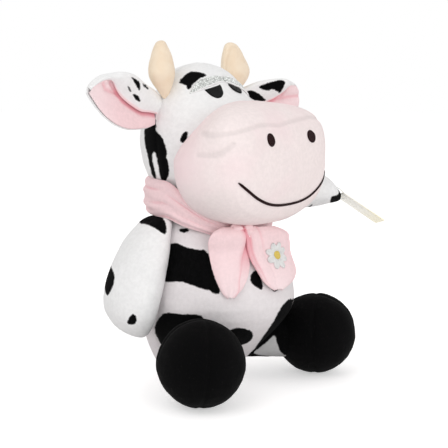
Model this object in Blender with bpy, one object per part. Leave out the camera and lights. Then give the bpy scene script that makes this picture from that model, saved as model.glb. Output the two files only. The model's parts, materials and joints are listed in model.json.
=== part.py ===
"""Sitting plush cow with a scarf, built from its sewn skins, fillings and trims.

Metres, +Z up. The cow faces -Y and its right side is -X. The origin is the centre
of the flat seat. Every cloth skin is a thin shell that is open along the seam where
it is sewn on, and holds its own filling.
"""

import math

import bmesh
import bpy
from mathutils import Matrix, Vector
from mathutils.bvhtree import BVHTree

# Cloth and clearances
SKIN_THICKNESS = 0.002
SEAM_GAP = 0.0003
FLOOR_FLAT = 0.0005
CUT_OVERRUN = 0.02
THINNEST_HALF = 0.0006
SHARP_ANGLE_DEG = 50.0

# Body, from the seat to the neck seam
BODY_HEIGHT = 0.187
BODY_WIDTH = 0.158
BODY_DEPTH = 0.158
BELLY_FORWARD = 0.032
PELLET_BAG_HEIGHT = 0.028

# Head, above the neck seam, turned a little to the cow's left
HEAD_HEIGHT = 0.1427
HEAD_WIDTH = 0.134
HEAD_DEPTH = 0.134
BROW_BACK = 0.0065
HEAD_TURN_DEG = 7.4

# Muzzle
MUZZLE_WIDTH = 0.184
MUZZLE_HEIGHT = 0.124
MUZZLE_LENGTH = 0.103
MUZZLE_BACK_FORWARD = 0.005
MUZZLE_CENTRE_UP = 0.0430
MUZZLE_DROOP = 0.010
NOSTRIL_WIDTH = 0.0105
NOSTRIL_HEIGHT = 0.0135
NOSTRIL_SPREAD = 0.073
NOSTRIL_UP = 0.0695
SMILE_SPAN = 0.157
SMILE_END_UP = 0.0305
SMILE_SAG = 0.0285
STITCH_WIDTH = 0.0024
STITCH_RAISE = 0.0009
TRIM_LIE = 0.0007
SMILE_POWER = 2.6

# Eyes and lids
EYE_SPREAD = 0.048
EYE_WIDTH = 0.022
EYE_HEIGHT = 0.0110
LID_SPREAD = 0.050
LID_WIDTH = 0.045
LID_ARCH = 0.0095
LID_OUTER_UP = 0.113
LID_INNER_UP = 0.1204
LID_RAISE = 0.0016
EYE_ROUND_POWER = 0.6
LID_ROUND_POWER = 0.7

# Horns
HORN_BASE_SPREAD = 0.107
HORN_TIP_SPREAD = 0.1225
HORN_BACK = 0.009
HORN_BASE_UP = 0.098
HORN_TIP_UP = 0.1627
HORN_BASE_WIDTH = 0.027

# Ears
EAR_LENGTH = 0.090
EAR_WIDTH = 0.054
EAR_CUP = 0.012
EAR_ROOT_SPREAD = 0.108
EAR_ROOT_BACK = 0.014
EAR_ROOT_UP = 0.094
EAR_RIGHT_RISE_DEG = 11.0
EAR_RIGHT_SWEEP_DEG = -3.5
EAR_LEFT_RISE_DEG = 3.0
EAR_LEFT_SWEEP_DEG = 29.0

# Arms
ARM_LENGTH = 0.121
ARM_WIDTH = 0.074
ARM_THICKNESS = 0.042
SHOULDER_BELOW_NECK = 0.015
SHOULDER_FORWARD = 0.005
ARM_RIGHT_SWING_DEG = 16.0
ARM_RIGHT_HEADING_DEG = 4.0
ARM_LEFT_SWING_DEG = 88.0
ARM_LEFT_HEADING_DEG = -28.0
ARM_RAISED_SWING_DEG = 68.0
ARM_RAISED_CLEAR = 0.0006
ARM_LEFT_LOWERED_DEG = (18.0, 36.0)
TAIL_CLEAR = 0.0008

# Legs and feet
FOOT_DIAMETER = 0.0874
FOOT_SPREAD = 0.1754
FOOT_FORWARD = 0.0927
LEG_DIAMETER = 0.054
LEG_UP = 0.047
HIP_SPREAD = 0.060
HIP_FORWARD = 0.050
HIP_HINGE_UP = 0.078

# Tail
TAIL_LENGTH = 0.052
TAIL_DIAMETER = 0.011
TAIL_ROOT_UP = 0.088
TAIL_SIDE_DEG = 24.0
TAIL_DROP_DEG = 72.0
TUFT_LENGTH = 0.030
TUFT_DIAMETER = 0.020

# Scarf
SCARF_RADIUS = 0.0618
SCARF_FORWARD = 0.0055
SCARF_THICKNESS = 0.0115
SCARF_BACK_HEIGHT = 0.038
SCARF_OVER_NECK = 0.007
SCARF_DROP = 0.032
KNOT_WIDTH = 0.026
KNOT_HEIGHT = 0.017
KNOT_THICKNESS = 0.015
KNOT_SIDE_DEG = -20.0
SCARF_TAIL_THICKNESS = 0.004
SCARF_TAIL_LIE = 0.0008
SCARF_TAIL_PRESS_SHARE = 0.4
SCARF_TAIL_PRESS_POWER = 1.5
SCARF_TAIL_RIGHT_LENGTH = 0.052
SCARF_TAIL_RIGHT_WIDTH = 0.036
SCARF_TAIL_LEFT_LENGTH = 0.045
SCARF_TAIL_LEFT_WIDTH = 0.054
DAISY_DIAMETER = 0.026
DAISY_CENTRE_DIAMETER = 0.009
DAISY_RAISE = 0.0008
DAISY_CENTRE_RAISE = 0.0016
DAISY_DROP_SHARE = 0.55
DAISY_NOTCH_SHARE = 0.70
DAISY_PETAL_POWER = 0.7
DAISY_PETALS = 8

# Hang tag and its loop
TAG_LENGTH = 0.056
TAG_WIDTH = 0.038
TAG_THICKNESS = 0.0012
TAG_HOLE = 0.0044
TAG_HOLE_INSET = 0.006
TAG_CORNER = 0.003
TAG_HEADING_DEG = -46.7
TAG_DROP_DEG = 34.0
TAG_ROLL_DEG = -14.0
LOOP_LENGTH = 0.022
LOOP_WIDTH = 0.010
LOOP_WIRE = 0.0011
LOOP_SINK = 0.003
LOOP_SLACK = 0.0022
LOOP_THROUGH = 0.00165

# Colours and roughness
WHITE_PLUSH = ((0.90, 0.90, 0.89), 0.95)
BLACK_PLUSH = ((0.012, 0.012, 0.014), 0.95)
PINK_PLUSH = ((0.90, 0.66, 0.66), 0.95)
PINK_FLEECE = ((0.88, 0.50, 0.54), 0.95)
HORN_CLOTH = ((0.80, 0.66, 0.46), 0.90)
BROWN_THREAD = ((0.07, 0.035, 0.03), 0.60)
BLACK_THREAD = ((0.015, 0.013, 0.015), 0.50)
SILVER_CLOTH = ((0.62, 0.62, 0.62), 0.40)
POLYESTER_FILL = ((0.86, 0.86, 0.84), 1.0)
PELLET_CLOTH = ((0.70, 0.70, 0.66), 0.90)
CREAM_CARD = ((0.90, 0.86, 0.62), 0.80)
GOLD_THREAD = ((0.85, 0.55, 0.12), 0.70)
CLEAR_LOOP = ((0.85, 0.83, 0.76), 0.30)

# Each row: height share, half-width share, half-depth share, forward share
BODY_SHARES = (
    (0.000, 0.405, 0.405, 0.00),
    (0.037, 0.510, 0.510, 0.05),
    (0.090, 0.605, 0.605, 0.14),
    (0.150, 0.695, 0.695, 0.27),
    (0.214, 0.800, 0.800, 0.42),
    (0.278, 0.885, 0.885, 0.58),
    (0.353, 0.955, 0.955, 0.80),
    (0.438, 1.000, 1.000, 1.00),
    (0.580, 0.965, 0.965, 1.04),
    (0.730, 0.865, 0.865, 0.89),
    (0.860, 0.740, 0.740, 0.67),
    (0.950, 0.610, 0.610, 0.50),
    (1.000, 0.500, 0.500, 0.375),
)

# Each row: height share, half-width share, half-depth share, brow back share
HEAD_SHARES = (
    (0.000, 0.58, 0.58, 0.00),
    (0.050, 0.69, 0.69, 0.00),
    (0.120, 0.79, 0.79, 0.00),
    (0.180, 0.86, 0.86, 0.00),
    (0.240, 0.915, 0.915, 0.00),
    (0.340, 0.975, 0.975, 0.00),
    (0.450, 1.00, 1.00, 0.00),
    (0.565, 0.99, 0.93, 0.08),
    (0.685, 0.93, 0.77, 0.28),
    (0.790, 0.84, 0.595, 0.62),
    (0.881, 0.70, 0.475, 1.00),
    (0.948, 0.49, 0.330, 1.00),
    (0.985, 0.27, 0.180, 1.00),
    (1.000, 0.10, 0.070, 1.00),
)

# Each row: forward share, half-width share, half-height share, droop share, squareness of the top
MUZZLE_SHARES = (
    (0.000, 0.54, 0.66, -0.50, 1.25),
    (0.070, 0.70, 0.80, -0.42, 1.25),
    (0.165, 0.84, 0.90, -0.30, 1.30),
    (0.290, 0.957, 0.955, -0.13, 1.45),
    (0.435, 1.00, 0.99, 0.01, 2.00),
    (0.580, 1.00, 0.985, 0.10, 2.90),
    (0.728, 0.98, 0.945, 0.22, 4.20),
    (0.845, 0.93, 0.86, 0.30, 4.40),
    (0.932, 0.826, 0.71, 0.38, 4.00),
    (0.981, 0.65, 0.49, 0.44, 3.40),
    (1.000, 0.41, 0.25, 0.48, 3.00),
)
MUZZLE_LOW_SQUARENESS = 2.4
# Extra room for the filling under the slanting top of the muzzle
MUZZLE_FILLING_ROOM = 0.0006
SOFT_SQUARE = (2.4, 2.4)

# Each row: length share, half-width share, half-thickness share
ARM_SHARES = (
    (0.000, 0.26, 0.10),
    (0.030, 0.42, 0.24),
    (0.090, 0.54, 0.44),
    (0.180, 0.62, 0.62),
    (0.300, 0.72, 0.78),
    (0.450, 0.86, 0.92),
    (0.610, 0.97, 1.00),
    (0.750, 1.00, 1.00),
    (0.865, 0.87, 0.88),
    (0.945, 0.62, 0.64),
    (0.990, 0.32, 0.34),
    (1.000, 0.12, 0.12),
)

# Each row: length share, radius share
HORN_SHARES = (
    (0.00, 1.00),
    (0.25, 0.99),
    (0.50, 0.88),
    (0.72, 0.71),
    (0.88, 0.55),
    (0.96, 0.38),
    (1.00, 0.14),
)

# Each row: length share, half-width share
EAR_SHARES = (
    (0.00, 0.42),
    (0.12, 0.62),
    (0.28, 0.86),
    (0.46, 1.00),
    (0.64, 0.95),
    (0.80, 0.74),
    (0.92, 0.44),
    (1.00, 0.12),
)
SCARF_TAIL_SHARES = (
    (0.00, 0.46),
    (0.14, 0.68),
    (0.34, 0.90),
    (0.55, 1.00),
    (0.76, 0.82),
    (0.92, 0.44),
    (1.00, 0.16),
)
TUFT_SHARES = (
    (0.00, 0.45),
    (0.15, 0.75),
    (0.45, 1.00),
    (0.75, 0.72),
    (0.93, 0.36),
    (1.00, 0.12),
)

# Each row: share from front to back, height share, drop share
SCARF_SHARES = (
    (0.00, 0.40, 0.97),
    (0.08, 0.46, 0.88),
    (0.18, 0.56, 0.66),
    (0.32, 0.84, 0.32),
    (0.46, 0.98, 0.04),
    (0.60, 1.00, 0.00),
    (1.00, 0.90, -0.04),
)

# Each row: place along the knot, size share
KNOT_SHARES = (
    (-1.00, 0.30),
    (-0.88, 0.68),
    (-0.50, 0.98),
    (0.00, 0.90),
    (0.50, 0.98),
    (0.88, 0.68),
    (1.00, 0.30),
)

# Angles from straight ahead at the top, middle and tip of each scarf tail
SCARF_TAIL_RIGHT_ANGLES = (-21.0, -38.0, -42.0)
SCARF_TAIL_LEFT_ANGLES = (-4.0, 4.0, 0.0)
TAG_SEAT_SHARES = (0.55, 0.965)
TAG_CORNER_ANGLES = (0.0, 30.0, 60.0, 90.0)
HEAD_RANGE_DEG = 8.0
HEAD_TURNED_CLEAR = 0.0012

# Shares left open at the two ends of an oval, an eye and a lid
OVAL_END_SHARE = 0.08
EYE_END_SHARE = 0.06
LID_END_SHARE = 0.04

SCARF_STEPS = 32
SCARF_SIDES = 8
BODY_SIDES = 24
HEAD_SIDES = 24
MUZZLE_SIDES = 28
ARM_SIDES = 16
FOOT_SIDES = 20
LEG_SIDES = 16
HORN_SIDES = 10
TAIL_SIDES = 8
KNOT_SIDES = 10
DAISY_STEPS = 32
LOOP_STEPS = 18
LOOP_SIDES = 5
HOLE_SIDES = 12
OVAL_STEPS = 6
OVAL_COLUMNS = 5
EYE_STEPS = 6
LID_STEPS = 8
LID_COLUMNS = 4
SMILE_STEPS = 34
SHEET_COLUMNS = 7
RING_COLUMNS = 3
ROUND = (2.0, 2.0)


def clear_scene():
    for obj in list(bpy.data.objects):
        bpy.data.objects.remove(obj, do_unlink=True)


def material(name, look):
    colour, roughness = look
    made = bpy.data.materials.get(name) or bpy.data.materials.new(name)
    made.use_nodes = True
    shader = made.node_tree.nodes["Principled BSDF"]
    shader.inputs["Base Color"].default_value = (*colour, 1.0)
    shader.inputs["Roughness"].default_value = roughness
    shader.inputs["Metallic"].default_value = 0.0
    return made


def empty(name, location, rotation=(0.0, 0.0, 0.0), parent=None):
    pivot = bpy.data.objects.new(name, None)
    pivot.location = location
    pivot.rotation_euler = rotation
    pivot.parent = parent
    bpy.context.scene.collection.objects.link(pivot)
    return pivot


def mesh_object(name, bm, parent=None, look=None):
    """Link a bmesh as an object, with a material where it is a piece."""
    bmesh.ops.recalc_face_normals(bm, faces=bm.faces[:])
    mesh = bpy.data.meshes.new(name)
    bm.to_mesh(mesh)
    bm.free()
    mesh.shade_smooth()
    mesh.set_sharp_from_angle(angle=math.radians(SHARP_ANGLE_DEG))
    made = bpy.data.objects.new(name, mesh)
    made.parent = parent
    bpy.context.scene.collection.objects.link(made)
    if look:
        mesh.materials.append(material(name, look))
    else:
        made.hide_render = True
        made.display_type = "WIRE"
    return made


def boolean(obj, other, operation):
    modifier = obj.modifiers.new(f"{operation.lower()}_{other.name}", "BOOLEAN")
    modifier.operation = operation
    modifier.solver = "EXACT"
    modifier.object = other


def cut(obj, *cutters):
    for cutter in cutters:
        boolean(obj, cutter, "DIFFERENCE")


def ring_points(centre, across, deep, half_across, half_deep, sides, squareness=ROUND):
    """Points of a rounded section; squareness 2 is an ellipse, more is boxier.

    The first squareness is for the half toward deep, the second for the other half.
    """
    points = []
    for i in range(sides):
        angle = 2.0 * math.pi * i / sides
        c, s = math.cos(angle), math.sin(angle)
        power = 2.0 / squareness[0 if s >= 0.0 else 1]
        u = math.copysign(abs(c) ** power, c)
        v = math.copysign(abs(s) ** power, s)
        points.append(centre + across * (half_across * u) + deep * (half_deep * v))
    return points


def loft(name, rings, parent=None, look=None, closed_loop=False):
    """Skin over rings of points, with flat caps, or joined end to end as a loop."""
    bm = bmesh.new()
    rows = [[bm.verts.new(point) for point in ring] for ring in rings]
    pairs = list(zip(rows, rows[1:]))
    if closed_loop:
        pairs.append((rows[-1], rows[0]))
    for low, high in pairs:
        for i in range(len(low)):
            j = (i + 1) % len(low)
            bm.faces.new((low[i], low[j], high[j], high[i]))
    if not closed_loop:
        bm.faces.new(rows[0][::-1])
        bm.faces.new(rows[-1])
    return mesh_object(name, bm, parent, look)


def row_at(rows, share):
    """The row of numbers at a share along a table, straight between its rows."""
    for low, high in zip(rows, rows[1:]):
        if share <= high[0]:
            part = (share - low[0]) / (high[0] - low[0])
            return tuple(a + (b - a) * part for a, b in zip(low, high))
    return rows[-1]


X_AXIS = Vector((1.0, 0.0, 0.0))
Y_AXIS = Vector((0.0, 1.0, 0.0))
Z_AXIS = Vector((0.0, 0.0, 1.0))


def grown_length(share, length, grow):
    """A place along a form whose two ends both move out by grow."""
    return share * (length + 2.0 * grow) - grow


# Body
def body_section(up, grow=0.0):
    """Centre Y, half width and half depth of the body at a height."""
    share = min(max(up / BODY_HEIGHT, 0.0), 1.0)
    _, wide, deep, forward = row_at(BODY_SHARES, share)
    return (
        -forward * BELLY_FORWARD,
        wide * BODY_WIDTH / 2.0 + grow,
        deep * BODY_DEPTH / 2.0 + grow,
    )


def belly_place(angle, up, away):
    """A place at a distance out from the body, by angle from straight ahead."""
    back, half_width, half_depth = body_section(up, away)
    return Vector((math.sin(angle) * half_width, back - math.cos(angle) * half_depth, up))


def body_ring(up, at, grow):
    back, half_width, half_depth = body_section(up, grow)
    return ring_points(Vector((0.0, back, at)), X_AXIS, Y_AXIS, half_width, half_depth, BODY_SIDES)


def body_form(name, grow, look=None):
    rings = []
    for share, *_ in BODY_SHARES:
        rings.append(body_ring(share * BODY_HEIGHT, grown_length(share, BODY_HEIGHT, grow), grow))
    return loft(name, rings, look=look)


def inner_rings(low, high, grow):
    """Rings of the body's form, moved in by grow, from one height to another."""
    heights = [share * BODY_HEIGHT for share, *_ in BODY_SHARES]
    heights = [low, *(up for up in heights if low < up < high), high]
    return [body_ring(up, up, grow) for up in heights]


def make_body():
    skin = body_form("body_skin", 0.0, look=WHITE_PLUSH)
    hollow = inner_rings(SKIN_THICKNESS, BODY_HEIGHT, -SKIN_THICKNESS)
    hollow.append(body_ring(BODY_HEIGHT, BODY_HEIGHT + CUT_OVERRUN, -SKIN_THICKNESS))
    cut(skin, loft("cut_body_hollow", hollow))
    inset = SKIN_THICKNESS + SEAM_GAP
    bag = inner_rings(inset, PELLET_BAG_HEIGHT, -inset)
    loft("seat_pellet_bag", bag, look=PELLET_CLOTH)
    fill = inner_rings(PELLET_BAG_HEIGHT + SEAM_GAP, BODY_HEIGHT, -inset)
    loft("body_filling", fill, look=POLYESTER_FILL)


# Head
def head_form(name, pivot, grow, bottom_overrun=0.0, look=None):
    rings = []
    for share, wide, deep, back in HEAD_SHARES:
        half_width = max(wide * HEAD_WIDTH / 2.0 + grow, THINNEST_HALF)
        half_depth = max(deep * HEAD_DEPTH / 2.0 + grow, THINNEST_HALF)
        at = share * (HEAD_HEIGHT + grow)
        if bottom_overrun and not rings:
            low = Vector((0.0, back * BROW_BACK, -bottom_overrun))
            rings.append(ring_points(low, X_AXIS, Y_AXIS, half_width, half_depth, HEAD_SIDES))
        centre = Vector((0.0, back * BROW_BACK, at))
        rings.append(ring_points(centre, X_AXIS, Y_AXIS, half_width, half_depth, HEAD_SIDES))
    return loft(name, rings, pivot, look)


def muzzle_form(name, pivot, grow, look=None, back_share=0.0):
    rings = []
    for share, wide, tall, droop, top_squareness in MUZZLE_SHARES:
        if share < back_share:
            continue
        forward = MUZZLE_BACK_FORWARD + grown_length(share, MUZZLE_LENGTH, grow)
        centre = Vector((0.0, -forward, MUZZLE_CENTRE_UP - droop * MUZZLE_DROOP))
        half_width = wide * MUZZLE_WIDTH / 2.0 + grow
        half_height = tall * MUZZLE_HEIGHT / 2.0 + grow
        squareness = (top_squareness, MUZZLE_LOW_SQUARENESS)
        rings.append(
            ring_points(centre, X_AXIS, Z_AXIS, half_width, half_height, MUZZLE_SIDES, squareness)
        )
    return loft(name, rings, pivot, look)


def make_head(pivot):
    """Head and muzzle; the muzzle is hollowed where it turns over the body's neck."""
    skin = head_form("head_skin", pivot, 0.0, look=WHITE_PLUSH)
    hollow = head_form("cut_head_hollow", pivot, -SKIN_THICKNESS, bottom_overrun=CUT_OVERRUN)
    cut(skin, hollow, muzzle_form("cut_muzzle_clear", pivot, SEAM_GAP))
    muzzle = muzzle_form("muzzle_skin", pivot, 0.0, look=PINK_PLUSH)
    muzzle_hollow = muzzle_form("cut_muzzle_hollow", pivot, -SKIN_THICKNESS)
    cut(muzzle_hollow, body_form("cut_neck_deep", HEAD_TURNED_CLEAR + SKIN_THICKNESS))
    neck_clear = body_form("cut_neck_clear", HEAD_TURNED_CLEAR)
    cut(muzzle, muzzle_hollow, head_form("cut_head_solid", pivot, 0.0), neck_clear)
    inset = SKIN_THICKNESS + SEAM_GAP
    filling = head_form("head_filling", pivot, -inset, look=POLYESTER_FILL)
    inner = muzzle_form("join_muzzle_filling", pivot, -inset - MUZZLE_FILLING_ROOM)
    cut(inner, body_form("cut_neck_fill", HEAD_TURNED_CLEAR + inset))
    boolean(filling, inner, "UNION")


def surface_of(*objects):
    """A tree of the world-space faces of objects, to lay trims on."""
    depsgraph = bpy.context.evaluated_depsgraph_get()
    verts, faces = [], []
    for obj in objects:
        made = obj.evaluated_get(depsgraph)
        mesh = made.to_mesh()
        first = len(verts)
        verts += [obj.matrix_world @ v.co for v in mesh.vertices]
        faces += [[first + i for i in face.vertices] for face in mesh.polygons]
        made.to_mesh_clear()
    return BVHTree.FromPolygons(verts, faces)


def laid(tree, frame, u, v, away, raise_by):
    """The point where a ray from in front meets the surface, and one above it."""
    start = frame @ Vector((u, -away, v))
    aim = (frame.to_3x3() @ Y_AXIS).normalized()
    place, normal, _, _ = tree.ray_cast(start, aim)
    if place is None:
        raise ValueError("a trim lies outside the surface that carries it")
    if normal.dot(aim) > 0.0:
        normal = -normal
    inverse = frame.inverted()
    return inverse @ (place + normal * TRIM_LIE), inverse @ (place + normal * (TRIM_LIE + raise_by))


def trim(name, tree, pivot, rows, raise_by, look, closed=False):
    """A thin patch on a surface, from rows of (across, up) places seen from in front."""
    frame = pivot.matrix_world
    away = MUZZLE_BACK_FORWARD + MUZZLE_LENGTH + CUT_OVERRUN
    bm = bmesh.new()
    grid = [[laid(tree, frame, u, v, away, raise_by) for u, v in row] for row in rows]
    low = [[bm.verts.new(pair[0]) for pair in row] for row in grid]
    high = [[bm.verts.new(pair[1]) for pair in row] for row in grid]
    close_sheet(bm, low, high)
    return mesh_object(name, bm, pivot, look)


def close_sheet(bm, low, high):
    """Faces over two grids of points and round their shared edge."""
    rows, columns = len(low), len(low[0])
    for i in range(rows - 1):
        for j in range(columns - 1):
            bm.faces.new((low[i][j], low[i + 1][j], low[i + 1][j + 1], low[i][j + 1]))
            bm.faces.new((high[i][j], high[i][j + 1], high[i + 1][j + 1], high[i + 1][j]))
    edge = [(i, 0) for i in range(rows)]
    edge += [(rows - 1, j) for j in range(1, columns)]
    edge += [(i, columns - 1) for i in range(rows - 2, -1, -1)]
    edge += [(0, j) for j in range(columns - 2, 0, -1)]
    for (a, b), (c, d) in zip(edge, edge[1:] + edge[:1]):
        bm.faces.new((low[a][b], high[a][b], high[c][d], low[c][d]))


def shares_between(steps, end_share=0.0):
    """Even shares from one end to the other, short of both by the end share."""
    return [end_share + (1.0 - 2.0 * end_share) * i / steps for i in range(steps + 1)]


def oval_rows(centre_u, centre_v, half_u, half_v):
    """Rows across an oval, narrow but never closed at its two ends."""
    rows = []
    for share in shares_between(OVAL_STEPS, OVAL_END_SHARE):
        angle = math.pi * share
        up, wide = -math.cos(angle) * half_v, math.sin(angle) * half_u
        across = shares_between(OVAL_COLUMNS - 1)
        rows.append([(centre_u + wide * (2.0 * at - 1.0), centre_v + up) for at in across])
    return rows


def lid_line(reach):
    """Height of the lid's lower edge at a distance from the middle of the face."""
    inner = (LID_SPREAD - LID_WIDTH) / 2.0
    share = (reach - inner) / LID_WIDTH
    return LID_INNER_UP + (LID_OUTER_UP - LID_INNER_UP) * share


def eye_rows(side):
    """Half disc that hangs below the lid's edge."""
    rows = []
    for share in shares_between(EYE_STEPS, EYE_END_SHARE):
        reach = EYE_SPREAD / 2.0 + (share - 0.5) * EYE_WIDTH
        deep = math.sin(math.pi * share) ** EYE_ROUND_POWER * EYE_HEIGHT
        top = lid_line(reach) - SEAM_GAP
        rows.append([(side * reach, top - deep * at) for at in shares_between(LID_COLUMNS - 1)])
    return rows


def lid_rows(side):
    """Crescent over the eye, from a straight lower edge to an arched upper one."""
    rows = []
    for share in shares_between(LID_STEPS, LID_END_SHARE):
        reach = LID_SPREAD / 2.0 + (share - 0.5) * LID_WIDTH
        tall = math.sin(math.pi * share) ** LID_ROUND_POWER * LID_ARCH
        low = lid_line(reach)
        rows.append([(side * reach, low + tall * at) for at in shares_between(LID_COLUMNS - 1)])
    return rows


def smile_rows():
    rows = []
    half_span, half = SMILE_SPAN / 2.0, STITCH_WIDTH / 2.0
    for at in shares_between(SMILE_STEPS):
        share = 2.0 * at - 1.0
        u = share * half_span
        v = SMILE_END_UP - SMILE_SAG * (1.0 - abs(share) ** SMILE_POWER)
        rise = SMILE_SAG * SMILE_POWER * math.copysign(abs(share) ** (SMILE_POWER - 1.0), share)
        tilt = math.atan(rise / half_span)
        du, dv = -math.sin(tilt) * half, math.cos(tilt) * half
        rows.append([(u - du, v - dv), (u + du, v + dv)])
    return rows


def make_face(pivot):
    bpy.context.view_layer.update()
    head = surface_of(bpy.data.objects["head_skin"])
    muzzle = surface_of(bpy.data.objects["muzzle_skin"])
    for side, word in ((-1.0, "right"), (1.0, "left")):
        trim(f"eye_{word}", head, pivot, eye_rows(side), STITCH_RAISE, BLACK_THREAD)
        trim(f"eyelid_{word}", head, pivot, lid_rows(side), LID_RAISE, SILVER_CLOTH)
        rows = oval_rows(
            side * NOSTRIL_SPREAD / 2.0, NOSTRIL_UP, NOSTRIL_WIDTH / 2.0, NOSTRIL_HEIGHT / 2.0
        )
        trim(f"nostril_{word}", muzzle, pivot, rows, STITCH_RAISE, BROWN_THREAD)
    trim("smile", muzzle, pivot, smile_rows(), STITCH_RAISE, BROWN_THREAD)


# Horns
def horn_form(name, pivot, side, grow, sink=0.0, look=None):
    base = Vector((side * HORN_BASE_SPREAD / 2.0, HORN_BACK, HORN_BASE_UP))
    tip = Vector((side * HORN_TIP_SPREAD / 2.0, HORN_BACK, HORN_TIP_UP))
    along = (tip - base).normalized()
    across = Y_AXIS.cross(along).normalized()
    length = (tip - base).length
    rings = []
    if sink:
        half = HORN_BASE_WIDTH / 2.0 + grow
        rings.append(ring_points(base - along * sink, across, Y_AXIS, half, half, HORN_SIDES))
    for share, wide in HORN_SHARES:
        centre = base + along * (share * (length + grow))
        half = wide * HORN_BASE_WIDTH / 2.0 + grow
        rings.append(ring_points(centre, across, Y_AXIS, half, half, HORN_SIDES))
    return loft(name, rings, pivot, look)


def make_horns(pivot, head_clear):
    for side, word in ((-1.0, "right"), (1.0, "left")):
        skin = horn_form(f"horn_skin_{word}", pivot, side, 0.0, look=HORN_CLOTH)
        hollow = horn_form(f"cut_horn_hollow_{word}", pivot, side, -SKIN_THICKNESS, CUT_OVERRUN)
        cut(skin, hollow, head_clear)
        grow = -(SKIN_THICKNESS + SEAM_GAP)
        filling = horn_form(f"horn_filling_{word}", pivot, side, grow, look=POLYESTER_FILL)
        cut(filling, head_clear)


# Ears
def ear_layer(name, pivot, side, front, look):
    """One cloth layer of an ear; its middle lies back and its edges come forward."""
    bm = bmesh.new()
    grids = []
    middle = 0.0 if front else SKIN_THICKNESS + SEAM_GAP
    for depth in (middle, middle + SKIN_THICKNESS):
        grid = []
        for share, wide in EAR_SHARES:
            half = wide * EAR_WIDTH / 2.0
            row = []
            for at in shares_between(SHEET_COLUMNS - 1):
                t = 2.0 * at - 1.0
                back = -EAR_CUP * wide * t * t + depth
                row.append(bm.verts.new((side * share * EAR_LENGTH, back, half * t)))
            grid.append(row)
        grids.append(grid)
    close_sheet(bm, *grids)
    return mesh_object(name, bm, pivot, look)


def make_ears(head_pivot, head_clear):
    for side, word, rise, sweep in (
        (-1.0, "right", EAR_RIGHT_RISE_DEG, EAR_RIGHT_SWEEP_DEG),
        (1.0, "left", EAR_LEFT_RISE_DEG, EAR_LEFT_SWEEP_DEG),
    ):
        place = (side * EAR_ROOT_SPREAD / 2.0, EAR_ROOT_BACK, EAR_ROOT_UP)
        turn = (0.0, -side * math.radians(rise), -side * math.radians(sweep))
        pivot = empty(f"ear_{word}_pivot", place, turn, head_pivot)
        horn_clear = horn_form(f"cut_horn_clear_{word}", head_pivot, side, SEAM_GAP, CUT_OVERRUN)
        lining = ear_layer(f"ear_lining_{word}", pivot, side, True, PINK_FLEECE)
        cut(lining, head_clear, horn_clear)
        back = ear_layer(f"ear_back_{word}", pivot, side, False, WHITE_PLUSH)
        cut(back, head_clear, horn_clear)


# Arms
def arm_form(name, pivot, side, grow, top_overrun=0.0, look=None):
    """Arm that hangs from its pivot, flat on the body's side and round outside."""
    rings = []
    for share, wide, thick in ARM_SHARES:
        half_width = wide * ARM_WIDTH / 2.0 + grow
        half = thick * ARM_THICKNESS / 2.0
        if half + grow < THINNEST_HALF:
            continue
        down = grown_length(share, ARM_LENGTH, grow)
        if top_overrun and not rings:
            top = Vector((side * half, 0.0, top_overrun - down))
            rings.append(ring_points(top, X_AXIS, Y_AXIS, half + grow, half_width, ARM_SIDES))
        centre = Vector((side * half, 0.0, -down))
        rings.append(ring_points(centre, X_AXIS, Y_AXIS, half + grow, half_width, ARM_SIDES))
    return loft(name, rings, pivot, look)


def body_edge(side, up, forward, grow=0.0):
    """The place on the body's side at a height and a distance forward."""
    back, half_width, half_depth = body_section(up, grow)
    off = (-forward - back) / half_depth
    return Vector((side * half_width * math.sqrt(1.0 - off * off), -forward, up))


def arm_pivot(name, side, swing, heading):
    place = body_edge(side, BODY_HEIGHT - SHOULDER_BELOW_NECK, SHOULDER_FORWARD, SEAM_GAP)
    turn = (0.0, -side * math.radians(swing), side * math.radians(heading))
    return empty(name, place, turn)


def turned_muzzles(head_pivot, grow):
    """Clearance forms of the muzzle at both ends and the middle of the head's turn."""
    forms = []
    for turn in (-HEAD_RANGE_DEG, 0.0, HEAD_RANGE_DEG):
        turned = empty("turned_pivot", (0.0, 0.0, 0.0), (0.0, 0.0, math.radians(turn)), head_pivot)
        forms.append(muzzle_form("cut_muzzle_turned", turned, grow))
    return forms


def lowered_bodies(grow):
    """The body as the left arm meets it on its way down from the raised pose."""
    forms = []
    raised = arm_pivot("arm_left_rest_pivot", 1.0, ARM_LEFT_SWING_DEG, ARM_LEFT_HEADING_DEG)
    bpy.context.view_layer.update()
    rest = raised.matrix_world
    for lowered in ARM_LEFT_LOWERED_DEG:
        turn = rest @ Matrix.Rotation(-math.radians(lowered), 4, "Y") @ rest.inverted()
        holder = empty("lowered_pivot", turn.translation, turn.to_euler())
        body = body_form("cut_body_lowered", grow)
        body.parent = holder
        forms.append(body)
    return forms


def make_arms(clear, deep, fill, left_clear, left_deep, left_fill):
    """Arms sewn to the body; the raised left one is dented by the muzzle over it."""
    pivots = {}
    for side, word, swing, heading in (
        (-1.0, "right", ARM_RIGHT_SWING_DEG, ARM_RIGHT_HEADING_DEG),
        (1.0, "left", ARM_LEFT_SWING_DEG, ARM_LEFT_HEADING_DEG),
    ):
        pivot = arm_pivot(f"arm_{word}_pivot", side, swing, heading)
        skin = arm_form(f"arm_skin_{word}", pivot, side, 0.0, look=WHITE_PLUSH)
        hollow = arm_form(f"cut_arm_hollow_{word}", pivot, side, -SKIN_THICKNESS, CUT_OVERRUN)
        dents = (left_clear, left_deep, left_fill) if word == "left" else ((), (), ())
        cut(hollow, deep, *dents[1])
        cut(skin, hollow, clear, *dents[0])
        grow = -(SKIN_THICKNESS + SEAM_GAP)
        filling = arm_form(f"arm_filling_{word}", pivot, side, grow, look=POLYESTER_FILL)
        cut(filling, fill, *dents[2])
        pivots[word] = pivot
    return pivots


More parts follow.
